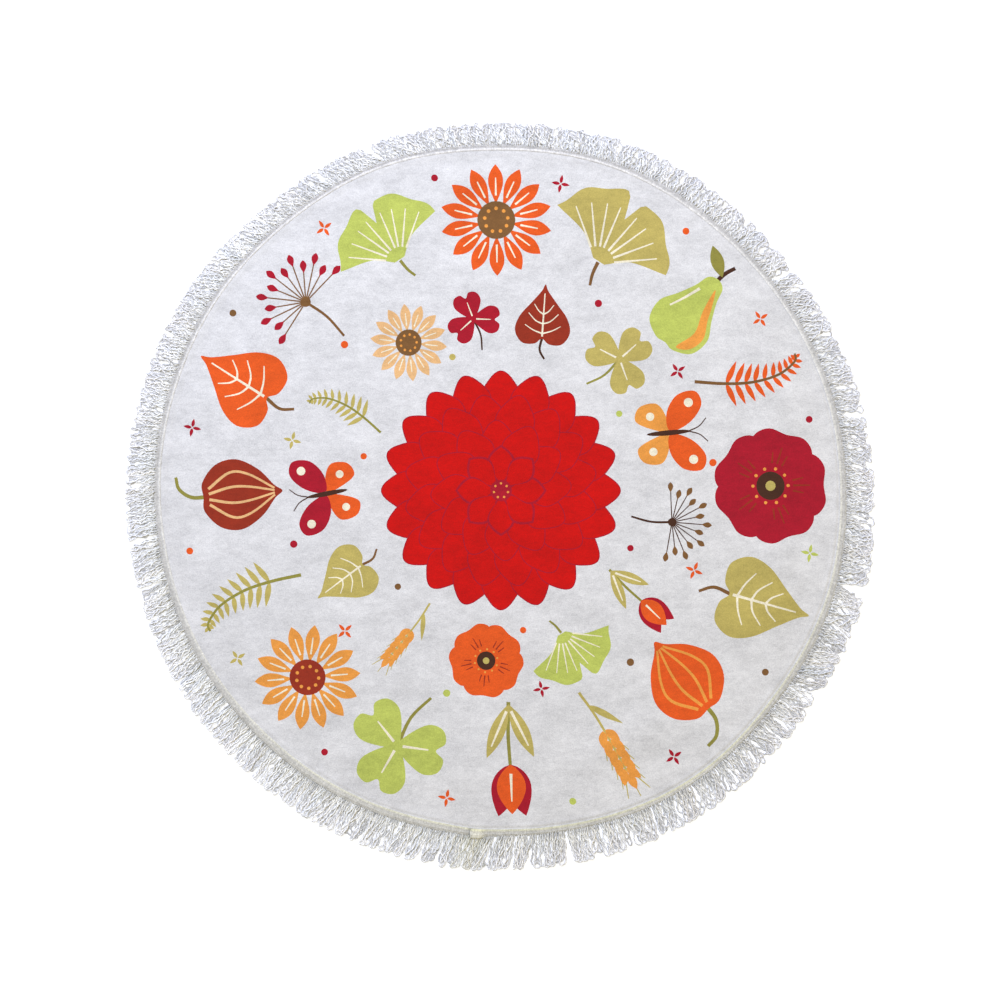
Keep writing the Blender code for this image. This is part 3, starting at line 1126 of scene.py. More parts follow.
@dataclass(frozen=True)
class TapeFinish(Finish):
    """Woven heading tape: fine ribs across it, over lengthwise cords.

    Args:
        colour: The tape's linear colour.
        rib: The ribs' spacing in metres.
        cord: The lengthwise cords' spacing in metres.
        bar: The spacing of the thicker picks that hold the loops.
    """

    colour: Colour = (0.715, 0.70, 0.645)
    rib: float = 0.0014
    cord: float = 0.0012
    bar: float = 0.0052

    def build(self, nap: bpy.types.NodeTree) -> bpy.types.Material:
        """Makes the material.

        Args:
            nap: The group that varies the tape's colour.

        Returns:
            The material.
        """
        made, nodes, shader = self.start()
        place = nodes.place()
        run = nodes.add("ShaderNodeSeparateXYZ", {0: nodes.run()}).outputs
        weave = nodes.times(nodes.ripple(run[0], self.rib), nodes.ripple(run[1], self.cord))
        weave = nodes.spread(weave, -1.0, 1.0)
        inputs = {"Vector": place, "Colour": nodes.product(nodes.stored("shade"), self.colour)}
        inputs |= {"Mottle Scale": 40.0, "Mottle Stretch": 1.0, "Mottle Depth": 0.16}
        pile = nodes.add("ShaderNodeGroup", inputs, node_tree=nap).outputs
        uneven = nodes.spread(nodes.noise(place, 190.0, 3.0, 0.7), 0.32, 0.68, 0.82, 1.15)
        light = nodes.times(nodes.spread(weave, 0.0, 1.0, 0.93, 1.05), uneven)
        light = nodes.times(light, nodes.spread(nodes.ripple(run[0], self.bar), -1.0, 0.6, 0.96, 1.02))
        rough = nodes.spread(weave, 0.0, 1.0, 0.95, 0.75)
        height = nodes.plus(weave, nodes.times(pile["Height"], 0.4))
        self.dress(nodes, shader, nodes.tint(pile["Colour"], light), rough, height)
        return made


@dataclass(frozen=True)
class FloorFinish(Finish):
    """A plain pale painted floor.

    Args:
        colour: Its linear colour.
        glow: Light that it adds, so that it stays as pale all over as a lit sweep.
        glow_colour: That light's linear colour.
    """

    colour: Colour = (0.93, 0.93, 0.93)
    glow: float = 0.55
    glow_colour: Colour = (0.91, 0.94, 1.0)

    def build(self) -> bpy.types.Material:
        """Makes the material.

        Returns:
            The material.
        """
        made, nodes, shader = self.start()
        speck = nodes.spread(nodes.noise(nodes.place(), 3.0, 4.0, 0.6), 0.3, 0.7, 0.985, 1.0)
        nodes.feed(shader, "Base Color", nodes.tint(self.colour, speck))
        shader.inputs["Emission Color"].default_value = (*self.glow_colour, 1.0)
        shader.inputs["Emission Strength"].default_value = self.glow
        return made


# ---------------------------------------------------------------------------------------------------
# The cloth


@dataclass
class Cloth:
    """The printed round with its hem.

    Args:
        thickness: From the floor side to the top of the pile.
        flat_radius: Where the flat face ends, 12 mm of hem and 5 mm of rise in from the edge.
        hem: Its section from the face round to the underside: how far in from the edge, and height.
        edge_points: Points round the edge.
        grid: Spacing of the face's points.
        under_grid: Spacing of the underside's points.
        groove: How deep the tape's seam pulls the hem down.
        groove_in: How far in from the edge it does.
        groove_width: How wide the groove is.
        slack_at: Where it pulls the least.
        pucker: The puckers' size along the hem.
        pucker_reach: How far in they fade out.
        uneven: How far the face rises and falls.
        face_island: Half the size and the middle of the face in the bake map.
        under_island: The same for the underside.
        pattern: What is printed on the face.
        finish: The velour.
    """

    thickness: float = 0.0024
    flat_radius: float = CLOTH_RADIUS - 0.0120 - 0.005
    hem: tuple[tuple[float, float], ...] = (
        (0.0150, 0.00248), (0.0132, 0.00266), (0.0112, 0.00286), (0.0094, 0.00302),
        (0.0078, 0.00311), (0.0064, 0.00316), (0.0052, 0.00320), (0.0040, 0.00322),
        (0.0030, 0.00322), (0.0018, 0.00318), (0.0008, 0.00300), (0.0002, 0.00256),
        (0.0000, 0.00175), (0.0003, 0.00100), (0.0010, 0.00038), (0.0022, 0.00006),
    )
    edge_points: int = 720
    grid: float = 0.0085
    under_grid: float = 0.0170
    groove: float = 0.0016
    groove_in: float = 0.0048
    groove_width: float = 0.0032
    slack_at: float = math.radians(138.0)
    pucker: float = 0.00028
    pucker_reach: float = 0.028
    uneven: float = 0.00012
    face_island: tuple[float, float] = (0.345, 0.355)
    under_island: tuple[float, float] = (0.13, 0.86)
    pattern: Print = Print()
    finish: VelourFinish = VelourFinish("printed_velour", sheen=0.10, bump=0.0009, strength=0.5)

    def net(self, spacing: float) -> Array:
        """Lays a staggered net of points inside the flat face.

        Args:
            spacing: From one point to the next.

        Returns:
            Rows of x and y.
        """
        limit = self.flat_radius
        rows = []
        for index, y in enumerate(np.arange(-limit, limit, spacing * 0.866)):
            x = np.arange(-limit, limit, spacing) + (index % 2) * spacing / 2
            inside = np.hypot(x, y) < limit - spacing * 0.6
            rows.append(np.stack([x[inside], np.full(inside.sum(), y)], axis=1))
        return np.vstack(rows)

    def filled(self, patches: Sequence[Patch], spacing: float) -> tuple[Array, Array, Array]:
        """Fills the flat round with triangles that keep to the edges of the print.

        Args:
            patches: The print's shapes.
            spacing: The net's spacing.

        Returns:
            The points, each triangle's corners and each triangle's ink. The edge's points come first.
        """
        outlines = [ring(self.flat_radius, self.edge_points)[:, :2], *(patch.outline for patch in patches)]
        ends = np.cumsum([len(outline) for outline in outlines]).tolist()
        rings = [list(range(end - len(outline), end)) for outline, end in zip(outlines, ends)]
        given = [Vector(point) for point in np.vstack([*outlines, self.net(spacing)]).tolist()]
        places, _, faces, origins, _, within = delaunay_2d_cdt(given, [], rings, 1, 1e-6)
        found = {source: place for place, sources in enumerate(origins) for source in sources}
        order = [found[index] for index in range(self.edge_points)]
        order += sorted(set(range(len(places))) - set(order))
        new_place = np.empty(len(places), int)
        new_place[order] = np.arange(len(places))
        points = np.array([tuple(places[index]) for index in order])
        triangles = new_place[np.array([list(face) for face in faces])]
        ink = np.array([max(inside) if inside else 0 for inside in within])
        return points, triangles, ink

    def relief(self, points: Array) -> Array:
        """The face's fine relief: creases, a soft unevenness, puckers along the hem and the tape's groove.

        Args:
            points: Rows of x, y and height.

        Returns:
            How much higher each point lies.
        """
        x, y = points[:, 0], points[:, 1]
        radius, angle = np.hypot(x, y), np.arctan2(y, x)
        pulled = 0.5 - 0.5 * np.cos(angle - self.slack_at)
        groove = np.exp(-(((CLOTH_RADIUS - radius - self.groove_in) / self.groove_width) ** 2))
        near_hem = np.exp(-(((CLOTH_RADIUS - radius) / self.pucker_reach) ** 2))
        ripple = np.sin(angle * 173 + 2.0 * np.sin(angle * 31)) * 0.6 + np.sin(angle * 97 + 1.3) * 0.4
        uneven = np.sin(x * 61 + 1.7 * np.sin(y * 23)) * np.sin(y * 53 + 1.9 * np.sin(x * 29))
        waved = self.pucker * near_hem * ripple + self.uneven * uneven
        return ridges(CREASES, x, y) + waved - self.groove * pulled * groove

    def build(self, patches: Sequence[Patch]) -> tuple[Array, list[Sequence[int]], Array]:
        """Works out the whole sheet.

        Args:
            patches: The print's shapes.

        Returns:
            Its points, its faces, and each flat face's ink: 0 is the ground. The flat faces come first.
        """
        top, top_faces, ink = self.filled(patches, self.grid)
        under, under_faces, _ = self.filled([], self.under_grid)
        hem = [ring(CLOTH_RADIUS - inward, self.edge_points, height) for inward, height in self.hem]
        flat_top = np.column_stack([top, np.full(len(top), self.thickness)])
        points = np.vstack([flat_top, *hem, np.column_stack([under, np.zeros(len(under))])])
        points[:, 2] += self.relief(points) * soft_step(points[:, 2] / self.thickness)
        starts = [0, *(len(top) + self.edge_points * index for index in range(len(hem) + 1))]
        rings = np.array(starts)[:, None] + np.arange(self.edge_points)
        return settle(points), [*top_faces, *band(rings), *(under_faces[:, ::-1] + starts[-1])], ink

    def laid_out(self, points: Array, corners: Array, is_under: Array) -> Array:
        """Lays the sheet out flat, face and underside side by side, for a baked picture.

        Args:
            points: Its points.
            corners: Each corner's point.
            is_under: Whether the corner's face is on the underside.

        Returns:
            Rows of u and v, one for each corner.
        """
        radius = np.hypot(points[:, 0], points[:, 1])
        rim = np.where(radius > self.flat_radius, np.maximum(self.thickness * 1.5 - points[:, 2], 0.0), 0.0)
        spread = ((radius + rim) / np.maximum(radius, 1e-9))[:, None]
        (half, middle), (under_half, under_middle) = self.face_island, self.under_island
        over = points[:, :2] * (spread * (half / CLOTH_RADIUS)) + middle
        below = points[:, :2] * (under_half / CLOTH_RADIUS) + under_middle
        return np.where(is_under[:, None], below[corners], over[corners])

    def make(self, nap: bpy.types.NodeTree) -> bpy.types.Object:
        """Makes and dresses the cloth.

        Args:
            nap: The group that lays the pile.

        Returns:
            The finished piece.
        """
        patches = self.pattern.patches()
        points, faces, ink = self.build(patches)
        piece = make_piece("printed_cloth", points, faces)
        sizes = np.array([len(face) for face in faces])
        inks = np.concatenate([ink, np.zeros(len(faces) - len(ink), int)])
        dyes = np.array([Dye.GROUND.linear, *(patch.dye.linear for patch in patches)])
        store_colours(piece.data, "ink", "CORNER", np.repeat(dyes[inks], sizes, axis=0))
        over = len(ink) + self.edge_points * (len(self.hem) + 1)
        is_under = np.repeat(np.arange(len(faces)) >= over, sizes)
        store_map(piece.data, "OFBake", self.laid_out(points, corner_points(piece.data), is_under))
        piece.data.materials.append(self.finish.build(nap))
        return piece


# ---------------------------------------------------------------------------------------------------
# Yarn and thread


def lengths(paths: Array) -> Array:
    """The metres run along each path at each of its places."""
    gaps = np.linalg.norm(np.diff(paths, axis=1), axis=2)
    return np.concatenate([np.zeros((len(paths), 1)), np.cumsum(gaps, axis=1)], axis=1)


def even(paths: Array, steps: int) -> Array:
    """Spaces the places along each path evenly.

    Args:
        paths: Places as an array of path, step and x, y, z.
        steps: How many places each path gets.

    Returns:
        The evenly spaced places.
    """
    spaced = np.empty((len(paths), steps, 3))
    for index, (path, length) in enumerate(zip(paths, lengths(paths))):
        want = np.linspace(0.0, length[-1], steps)
        spaced[index] = np.stack([np.interp(want, length, path[:, axis]) for axis in range(3)], axis=1)
    return spaced


@dataclass(frozen=True)
class Strand:
    """A yarn or a thread: a twisting oval, pinched at both ends.

    Args:
        across: The oval's longer half.
        flat: The oval's shorter half.
        sides: Points round the oval.
        twist: Metres for one turn of the oval.
    """

    across: float
    flat: float
    sides: int
    twist: float

    def swept(self, paths: Array) -> tuple[Array, Array]:
        """Sweeps the oval along many paths at once.

        Args:
            paths: Places as an array of path, step and x, y, z, evenly spaced along each path.

        Returns:
            The points, and the metres along its path of each.
        """
        ahead = np.gradient(paths, axis=1)
        ahead /= np.linalg.norm(ahead, axis=2, keepdims=True)
        side = np.cross(ahead, (0.0, 0.0, 1.0))
        side /= np.linalg.norm(side, axis=2, keepdims=True)
        up = np.cross(side, ahead)
        run = lengths(paths)
        around = np.linspace(0.0, 2 * np.pi, self.sides, endpoint=False)
        turn = run[:, :, None] * (2 * np.pi / self.twist)
        from_end = np.minimum(run, run[:, -1:] - run)
        pinch = (0.5 + 0.5 * soft_step(from_end / (self.across * 3.0)))[:, :, None]
        oval_x = np.cos(around) * self.across * pinch
        oval_y = np.sin(around) * self.flat * pinch
        out = oval_x * np.cos(turn) - oval_y * np.sin(turn)
        rise = oval_x * np.sin(turn) + oval_y * np.cos(turn)
        points = paths[:, :, None] + side[:, :, None] * out[..., None] + up[:, :, None] * rise[..., None]
        return points.reshape(-1, 3), np.repeat(run.ravel(), self.sides)

    def make(self, name: str, paths: Array) -> bpy.types.Object:
        """Makes one piece of many strands with closed ends, with its run map and its bake map.

        Args:
            name: The piece's name.
            paths: Places as an array of path, step and x, y, z.

        Returns:
            The new piece.
        """
        count, steps = paths.shape[:2]
        points, run = self.swept(paths)
        index = np.arange(len(points)).reshape(count, steps, self.sides)
        quads = np.roll(band(index), -1, axis=1)
        piece = make_piece(name, points, [*quads, *index[:, 0], *index[:, -1, ::-1]])
        corners = corner_points(piece.data)
        side = corners % self.sides
        step = (corners // self.sides) % steps
        strand = corners // (self.sides * steps)
        wrapped = side[: quads.size]
        last_side = np.repeat((quads % self.sides).max(axis=1) == self.sides - 1, 4)
        wrapped[(wrapped == 0) & last_side] = self.sides
        around = side / self.sides
        store_map(piece.data, "run", np.stack([run[corners], around], axis=1))
        along = 0.01 + 0.98 * step / (steps - 1)
        store_map(piece.data, "OFBake", np.stack([along, (strand + 0.08 + 0.84 * around) / count], axis=1))
        return piece


# ---------------------------------------------------------------------------------------------------
# The heading tape


@dataclass
class HeadingTape:
    """The woven tape that holds the loops, laid round the cloth's edge, its ends lapped at the joint.

    Args:
        steps: Sections round the towel.
        end_steps: Sections in each end, where the tape bends the most.
        end: How long such an end is.
        lap: How far one end runs under the other.
        lap_fade: How far past the lap the upper end stays raised.
        lap_rise: How high the upper end lies over the lower one.
        lap_shift: How far out the upper end stands.
        lap_growth: How much wider its folded end is.
        fold: How far from the fold its corners are round.
        lip: How far out from its inner edge its raised lip ends.
        wavy: The waves of its edges: size, radians of the wave in a metre, and start.
        bumpy: The waves of its height: size, and radians of the wave in a metre.
        section: The section over the floor: metres out from the inner edge, and height.
        body_tones: Its painted shade outside the lip, darkening out towards the loops: metres out from the
            inner edge, and brightness.
        cord_at: Where its thickest lengthwise cord lies.
        cord_pitch: From that cord to the next.
        cord_tone: How much brighter the cords are.
        back: The towel's back, where the lip's painted highlight is brightest and the tape's tint bluest.
        flat_at: Where it is painted lighter, with less painted shade, a brighter lip and stronger cords, and
            the spread in radians.
        narrow_at: Where the least of it shows, where its painted shade is lighter, and the spread in
            radians.
        creamy_at: Where its lip is creamiest, and the spread in radians.
        finish: The tape's weave.
    """

    steps: int = 900
    end_steps: int = 60
    end: float = 0.045
    lap: float = 0.016
    lap_fade: float = 0.022
    lap_rise: float = 0.0048
    lap_shift: float = 0.0012
    lap_growth: float = 0.10
    fold: float = 0.0055
    lip: float = 0.0024
    wavy: tuple[tuple[float, float, float], ...] = ((0.00018, 131.0, 0.0), (0.00015, 59.0, 1.0))
    bumpy: tuple[float, float] = (0.00012, 211.0)
    section: tuple[tuple[float, float], ...] = (
        (0.0004, 0.0001), (0.0001, 0.0012), (0.0000, 0.0034), (-0.0014, 0.0035), (-0.0028, 0.0034),
        (-0.0031, 0.0036), (-0.0027, 0.0039), (-0.0014, 0.0043), (0.0002, 0.0044), (0.0014, 0.0042),
        (0.0024, 0.0039), (0.0034, 0.0040), (0.0043, 0.0040), (0.0052, 0.0040), (0.0061, 0.0042),
        (0.0070, 0.0044), (0.0079, 0.0044), (0.0088, 0.0042), (0.0097, 0.0038), (0.0108, 0.0036),
        (0.0119, 0.0034), (0.0130, 0.0029), (0.0143, 0.0020), (0.0147, 0.0009), (0.0143, 0.0001),
    )
    body_tones: tuple[tuple[float, float], ...] = (
        (0.0015, 0.94), (0.0035, 0.88), (0.0055, 0.81), (0.0075, 0.79), (0.0095, 0.80), (0.0115, 0.81),
        (0.0147, 0.80),
    )
    cord_at: float = 0.0078
    cord_pitch: float = 0.0056
    cord_tone: float = 0.032
    back: float = math.radians(92.0)
    flat_at: tuple[float, float] = (math.radians(240.0), 0.46)
    narrow_at: tuple[float, float] = (math.radians(302.0), 0.16)
    creamy_at: tuple[float, float] = (math.radians(290.0), 1.0)
    finish: TapeFinish = TapeFinish("heading_tape", bump=0.0003, strength=0.6)

    @property
    def radius(self) -> float:
        """The radius of its inner edge."""
        return CLOTH_RADIUS + TAPE_GAP / 2

    @property
    def length(self) -> float:
        """The tape's length with its lap."""
        return 2 * math.pi * self.radius + self.lap

    def raised(self, along: Array) -> Array:
        """How far the upper end is raised, from 0 to 1, at metres along the tape."""
        return soft_step(1.0 - (along - self.lap) / self.lap_fade)

    def place(self, along: Array, out: Array, height: Array) -> Array:
        """Puts places of the tape on the towel.

        Args:
            along: Metres along the tape from its upper end.
            out: Metres out from its inner edge.
            height: Metres over the floor.

        Returns:
            Rows of x, y and z.
        """
        angle = JOINT_ANGLE + (along - self.lap / 2) / self.radius
        raised = self.raised(along)
        under = soft_step((along - self.length + self.lap * 1.6) / (self.lap * 0.8))
        from_fold = np.clip(along / self.fold, 0.0, 1.0)
        rounded = np.sqrt(from_fold * (2.0 - from_fold))
        # The outer edge of the tape is covered to a varying width, but not at its upper end
        shows = (round_the_towel(TAPE_SHOWS, angle) - self.lip) / (TAPE_WIDTH - self.lip)
        shown = self.lip + (out - self.lip) * (shows + (1.0 - shows) * raised)
        out = np.where(out > self.lip, shown, out)
        middle = TAPE_WIDTH * 0.4
        out = middle + (out - middle) * (1.0 + self.lap_growth * raised) * (0.62 + 0.38 * rounded)
        wave = sum(size * np.sin(along * rate + start) for size, rate, start in self.wavy)
        reach = self.radius + out + self.lap_shift * raised + wave * (out / TAPE_WIDTH)
        bump = self.bumpy[0] * np.sin(along * self.bumpy[1]) * (height > 0.002)
        rise = height * (1.0 - 0.04 * under) + bump
        rise = rise + raised * self.lap_rise * (0.70 + 0.30 * rounded)
        return settle(np.stack([np.cos(angle) * reach, np.sin(angle) * reach, rise], axis=1))

    def tones(self, along: Array, out: Array) -> Array:
        """How bright and how blue the tape is: a painted highlight on its lip and a bluer tint, both
        strongest at the back; painted shade that deepens out towards the loops and where the lower end tucks
        under; and a paler, creamier raised end.

        Args:
            along: Metres along the tape.
            out: Metres out from its inner edge.

        Returns:
            A linear tint at each place.
        """
        angle = JOINT_ANGLE + (along - self.lap / 2) / CLOTH_RADIUS
        # A painted highlight on the lip, brightest at the back, over a body whose painted shade deepens out
        # towards the loops
        back = np.cos(angle - self.back)
        lip = soft_step((0.0016 - out) / 0.0020)
        body = np.interp(out, *np.array(self.body_tones).T)
        flat, narrow = near(angle, *self.flat_at), near(angle, *self.narrow_at)
        cord = self.cord_tone * np.cos((out - self.cord_at) * (2 * np.pi / self.cord_pitch))
        cord = cord * (1.0 + 0.9 * flat)
        body = body * (1.0 + 0.10 * flat + 0.15 * narrow) + cord * soft_step((out - 0.0030) / 0.0020)
        creamy = 0.20 * lip * near(angle, *self.creamy_at)
        shade = body + (1.07 + 0.12 * back + 0.08 * flat - body) * lip
        # The raised upper end is painted paler and creamier; painted shade where the lower end tucks under
        # the lap
        raised = self.raised(along)
        tucked = soft_step((along - self.length + self.lap + 0.010) / 0.010)
        shade = (shade + (1.10 - shade) * raised) * (1.0 - 0.26 * tucked)
        blue = 1.0 + 0.035 * back - creamy - 0.06 * raised
        return np.stack([shade, shade, shade * blue], axis=1)

    def make(self, nap: bpy.types.NodeTree) -> bpy.types.Object:
        """Makes and dresses the tape.

        Args:
            nap: The group that varies its colour.

        Returns:
            The finished piece.
        """
        section = np.array(self.section)
        ends = np.linspace(0.0, self.end, self.end_steps)
        between = np.linspace(self.end + 0.004, self.length - self.end - 0.004, self.steps)
        along = np.concatenate([ends, between, self.length - ends[::-1]])
        run = np.repeat(along, len(section))
        out, height = np.tile(section, (len(along), 1)).T
        points = self.place(run, out, height)
        index = np.arange(len(points)).reshape(len(along), len(section))
        piece = make_piece("heading_tape", points, [*band(index), index[0], index[-1, ::-1]])
        across = np.concatenate([[0.0], np.cumsum(np.hypot(*np.diff(section, axis=0).T))])
        laid = np.stack([run, np.tile(across, len(along))], axis=1)
        store_map(piece.data, "run", laid[corner_points(piece.data)])
        store_colours(piece.data, "shade", "POINT", self.tones(run, out))
        piece.data.materials.append(self.finish.build(nap))
        return piece


@dataclass
class StitchRow:
    """The thread that holds the tape down, and the few stitches across its lapped end.

    Args:
        tape: The tape that is sewn.
        pitch: From one stitch to the next.
        stitch: A stitch's length.
        thread: The thread's section.
        out: Where the row lies on the tape.
        level: How high the row lies.
        arch: How far a stitch arches up.
        end_stitches: How many stitches hold the lapped end.
        end_stitch: Their length.
        end_pitch: From one of them to the next.
        end_arch: How far they arch up.
        steps: Places along a stitch.
        finish: The thread's finish.
    """

    tape: HeadingTape
    pitch: float = 0.0044
    stitch: float = 0.0035
    thread: Strand = Strand(0.00030, 0.00030 * 0.8, 5, 0.002)
    out: float = 0.0025
    level: float = 0.00392
    arch: float = 0.00020
    end_stitches: int = 5
    end_stitch: float = 0.0030
    end_pitch: float = 0.0027
    end_arch: float = 0.00025
    steps: int = 5
    finish: YarnFinish = YarnFinish(
        "sewing_thread", bump=0.0001, strength=0.4, colour=(0.77, 0.76, 0.725), turns=900.0
    )

    def paths(self) -> Array:
        """Lays the stitches in the order they are sewn.

        Returns:
            Places as an array of stitch, step and x, y, z.
        """
        count = int(self.tape.length / self.pitch)
        share = np.linspace(0.0, 1.0, self.steps)
        along = (np.arange(count)[:, None] * self.pitch + 0.002 + share * self.stitch).reshape(-1)
        high = np.tile(self.level + self.arch * np.sin(np.pi * share), count)
        sewn = self.tape.place(along, np.full(len(along), self.out), high).reshape(count, self.steps, 3)
        across = []
        for number in range(self.end_stitches):
            out = 0.0010 + number * self.end_pitch
            level = np.interp(out, *np.array(self.tape.section[5:-2]).T) + 0.00012
            high = level + self.end_arch * np.sin(np.pi * share)
            across.append(self.tape.place(0.0012 + share * self.end_stitch, np.full(self.steps, out), high))
        return np.concatenate([sewn, np.array(across)])

    def make(self, ply: bpy.types.NodeTree) -> bpy.types.Object:
        """Makes and dresses the stitches.

        Args:
            ply: The group that twists the thread.

        Returns:
            The finished piece.
        """
        piece = self.thread.make("tape_stitches", self.paths())
        store_colours(piece.data, "shade", "POINT", np.ones((len(piece.data.vertices), 3)))
        piece.data.materials.append(self.finish.build(ply))
        return piece


# ---------------------------------------------------------------------------------------------------
# The fringe


@dataclass(frozen=True)
class Clumps:
    """Smooth random waves round the towel that gather the loops.

    Args:
        size: About how high the waves are.
        first: The fewest waves in a round.
        last: The most waves in a round, and one.
        seed: Starts the random draws.
    """

    size: float
    first: int
    last: int
    seed: int

    def at(self, angle: Array) -> Array:
        """Adds up the waves.

        Args:
            angle: The angles in radians.

        Returns:
            The height at each angle.
        """
        starts = np.random.default_rng(self.seed).uniform(0, 2 * np.pi, self.last - self.first)
        counts = np.arange(self.first, self.last)
        total = np.cos(angle[:, None] * counts + starts).sum(axis=1)
        return self.size * (total * math.sqrt(2.0 / len(counts)))


@dataclass(frozen=True)
class LoopRow:
    """One row of loops.

    Args:
        name: Begins the pieces' names.
        count: How many loops it has.
        parts: How many pieces they are joined into.
        share: Their length, as a share of the fringe's.
        level: Their lowest height over the floor.
        rise: How much higher the highest lies.
        shade: How bright they are painted: the lower row darker, as painted shade under the upper row.
        steps: Places along one loop.
    """

    name: str
    count: int
    parts: int
    share: float
    level: float
    rise: float
    shade: float
    steps: int


@dataclass
class LoopFringe:
    """Crinkled yarn loops, side by side round the tape, in an upper and a lower row.

    Args:
        rows: The rows of loops.
        length: A loop's usual length.
        width: A loop's usual width.
        yarn: Half the yarn's thickness.
        strand: The yarn's section.
        rooted: How far in from the tape's outer edge a loop starts.
        side_shade: How bright the painted shade on the yarn's sides and underside is, against its top.
        tangled_at: Where the loops lie the least tidily.
        curled_at: Where they curl the most.
        twisted_at: Where each loop's legs are twisted together the most.
        tidy_at: Where the loops gather the least into locks.
        facing_at: Where their roots lie in the open.
        jitter: How far a loop strays from its even place, as a share of the spacing.
        ragged: The most that a loop falls short by itself, as a share of its length.
        ragged_waves: How much neighbours fall short together.
        short_share: How many of the loops are short.
        short: The least and the greatest length of those, as shares of the usual one.
        widths: The least and the greatest width, as shares of the usual one.
        gathers: How far the tips of neighbours gather.
        strays: How far a tip strays by itself.
        wild_share: How many of the loops lie wild.
        wild: How far their tips lie off.
        bows: How far a loop bows by itself.
        bow_waves: How far neighbours bow together.
        crinkles: The yarn's crinkle: sideways, sideways, up and down, sideways and along, each with its
            size and its pitch.
        greyest: How much greyer than white the greyest loop is.
        warmth: How much the loops differ in warmth.
        creamy_at: Where the yarn is creamiest, and the spread in radians.
        darker: Where roots are painted darker, as painted shade and as the lapped end's painted shadow: how
            much darker, where, the spread in radians, and how far out.
        loose_at: Where the tips lie loose and pale, and the spread in radians.
        seed: Starts the random draws.
        finish: The yarn.
    """

    rows: tuple[LoopRow, ...] = (
        LoopRow("fringe_loops", 470, 6, 1.0, 0.0030, 0.0018, 1.02, 74),
        LoopRow("fringe_under_loops", 400, 4, 0.90, 0.0017, 0.0006, 0.76, 62),
    )
    length: float = 0.0587
    width: float = 0.0106
    yarn: float = 0.0019
    strand: Strand = Strand(0.0019 * 1.08, 0.0019 * 0.88, 6, 0.0125)
    rooted: float = 0.0045
    side_shade: Colour = (0.42, 0.417, 0.434)
    tangled_at: float = math.radians(350.0)
    curled_at: float = math.radians(105.0)
    twisted_at: float = math.radians(215.0)
    tidy_at: float = math.radians(215.0)
    facing_at: float = math.radians(105.0)
    jitter: float = 0.28
    ragged: float = 0.078
    ragged_waves: Clumps = Clumps(0.015, 40, 80, 1)
    short_share: float = 0.04
    short: tuple[float, float] = (0.62, 0.85)
    widths: tuple[float, float] = (0.65, 1.20)
    gathers: tuple[Clumps, ...] = (Clumps(0.0020, 50, 90, 2), Clumps(0.0028, 100, 170, 3))
    strays: float = 0.0046
    wild_share: float = 0.19
    wild: float = 0.012
    bows: float = 0.0050
    bow_waves: Clumps = Clumps(0.002, 30, 70, 4)
    crinkles: tuple[tuple[float, float], ...] = (
        (0.00080, 0.0100), (0.00045, 0.0064), (0.00050, 0.0071), (0.0021, 0.030), (0.00035, 0.0063),
    )
    greyest: float = 0.18
    warmth: float = 0.010
    creamy_at: tuple[float, float] = (JOINT_ANGLE + 0.004, 0.032)
    darker: tuple[tuple[float, float, float, float], ...] = (
        (0.26, JOINT_ANGLE + 0.045, 0.016, 0.020),
        (0.07, math.radians(326.0), 0.34, 0.036),
        (0.16, *OPEN_EDGE, 0.006),
    )
    loose_at: tuple[float, float] = (math.radians(225.0), 0.85)
    seed: int = 5
    finish: YarnFinish = YarnFinish("fringe_yarn", bump=0.0005, strength=0.55)

    def facing(self, angle: Array) -> Array:
        """How far the loops' roots lie in the open, from 0 to 1: the most at the towel's back."""
        return soft_step((np.cos(angle - self.facing_at) + 0.15) / 0.85)

    def paths(self, row: LoopRow, draws: np.random.Generator) -> Array:
        """Lays the yarn of every loop in a row.

        Args:
            row: The row.
            draws: Gives the random numbers.

        Returns:
            The places as an array of loop, step and x, y, z.
        """
        n = row.count
        strayed = np.arange(n) + 0.5 + draws.uniform(-self.jitter, self.jitter, n)
        angle = JOINT_ANGLE + 2 * np.pi / n * strayed
        tangle = 1.0 + 0.8 * np.maximum(0.0, np.cos(turn_between(angle, self.tangled_at)))
        twisty, tidy = near(angle, self.twisted_at, 0.75), near(angle, self.tidy_at, 1.1)

        # How far each loop reaches, and half its width: a few are short
        ragged = self.ragged * tangle * draws.random(n) ** 2 + self.ragged_waves.at(angle)
        reach = (self.length + waves(LENGTH_WAVES, angle)) * row.share * (1.0 - ragged * (1.0 - 0.55 * tidy))
        is_short = draws.random(n) < self.short_share * (1.0 - 0.8 * tidy)
        reach = np.where(is_short, reach * draws.uniform(*self.short, n), reach)
        half = self.width / 2 * draws.uniform(*self.widths, n) * (0.70 + 0.30 * tangle)
        half *= 1.0 - 0.28 * twisty

        # How far its tip lies to the side: it leans, gathers with its neighbours, and bows
        lean = reach * np.tan(np.radians(round_the_towel(LEANS, angle)))
        gather = sum(clumps.at(angle) for clumps in self.gathers) * (1.0 - 0.75 * tidy)
        gather += draws.normal(0.0, self.strays, n) * tangle * (1.0 - 0.55 * tidy)
        is_wild = draws.random(n) < self.wild_share * tangle * (1.0 - 0.5 * tidy)
        lean = np.where(is_wild, lean + draws.normal(0.0, self.wild, n), lean)
        bow = draws.normal(0.0, self.bows, n) * tangle + self.bow_waves.at(angle) + gather

        # How far its legs are wrung round each other, how high it lies and how much it is curled
        kind = draws.random(n) + 0.25 * twisty
        wring = np.where(kind < 0.45, 0.25, np.where(kind < 0.80, 1.0, 2.0 + twisty)) * np.pi
        wring *= draws.uniform(0.85, 1.15, n) * np.where(draws.random(n) < 0.5, -1.0, 1.0)
        level = row.level + row.rise * draws.random(n)
        curled = (0.89 + 0.30 * np.cos(angle - self.curled_at)) * (1.0 - 0.30 * twisty**2)
        phases = draws.uniform(0, 2 * np.pi, (len(self.crinkles), n, 1))

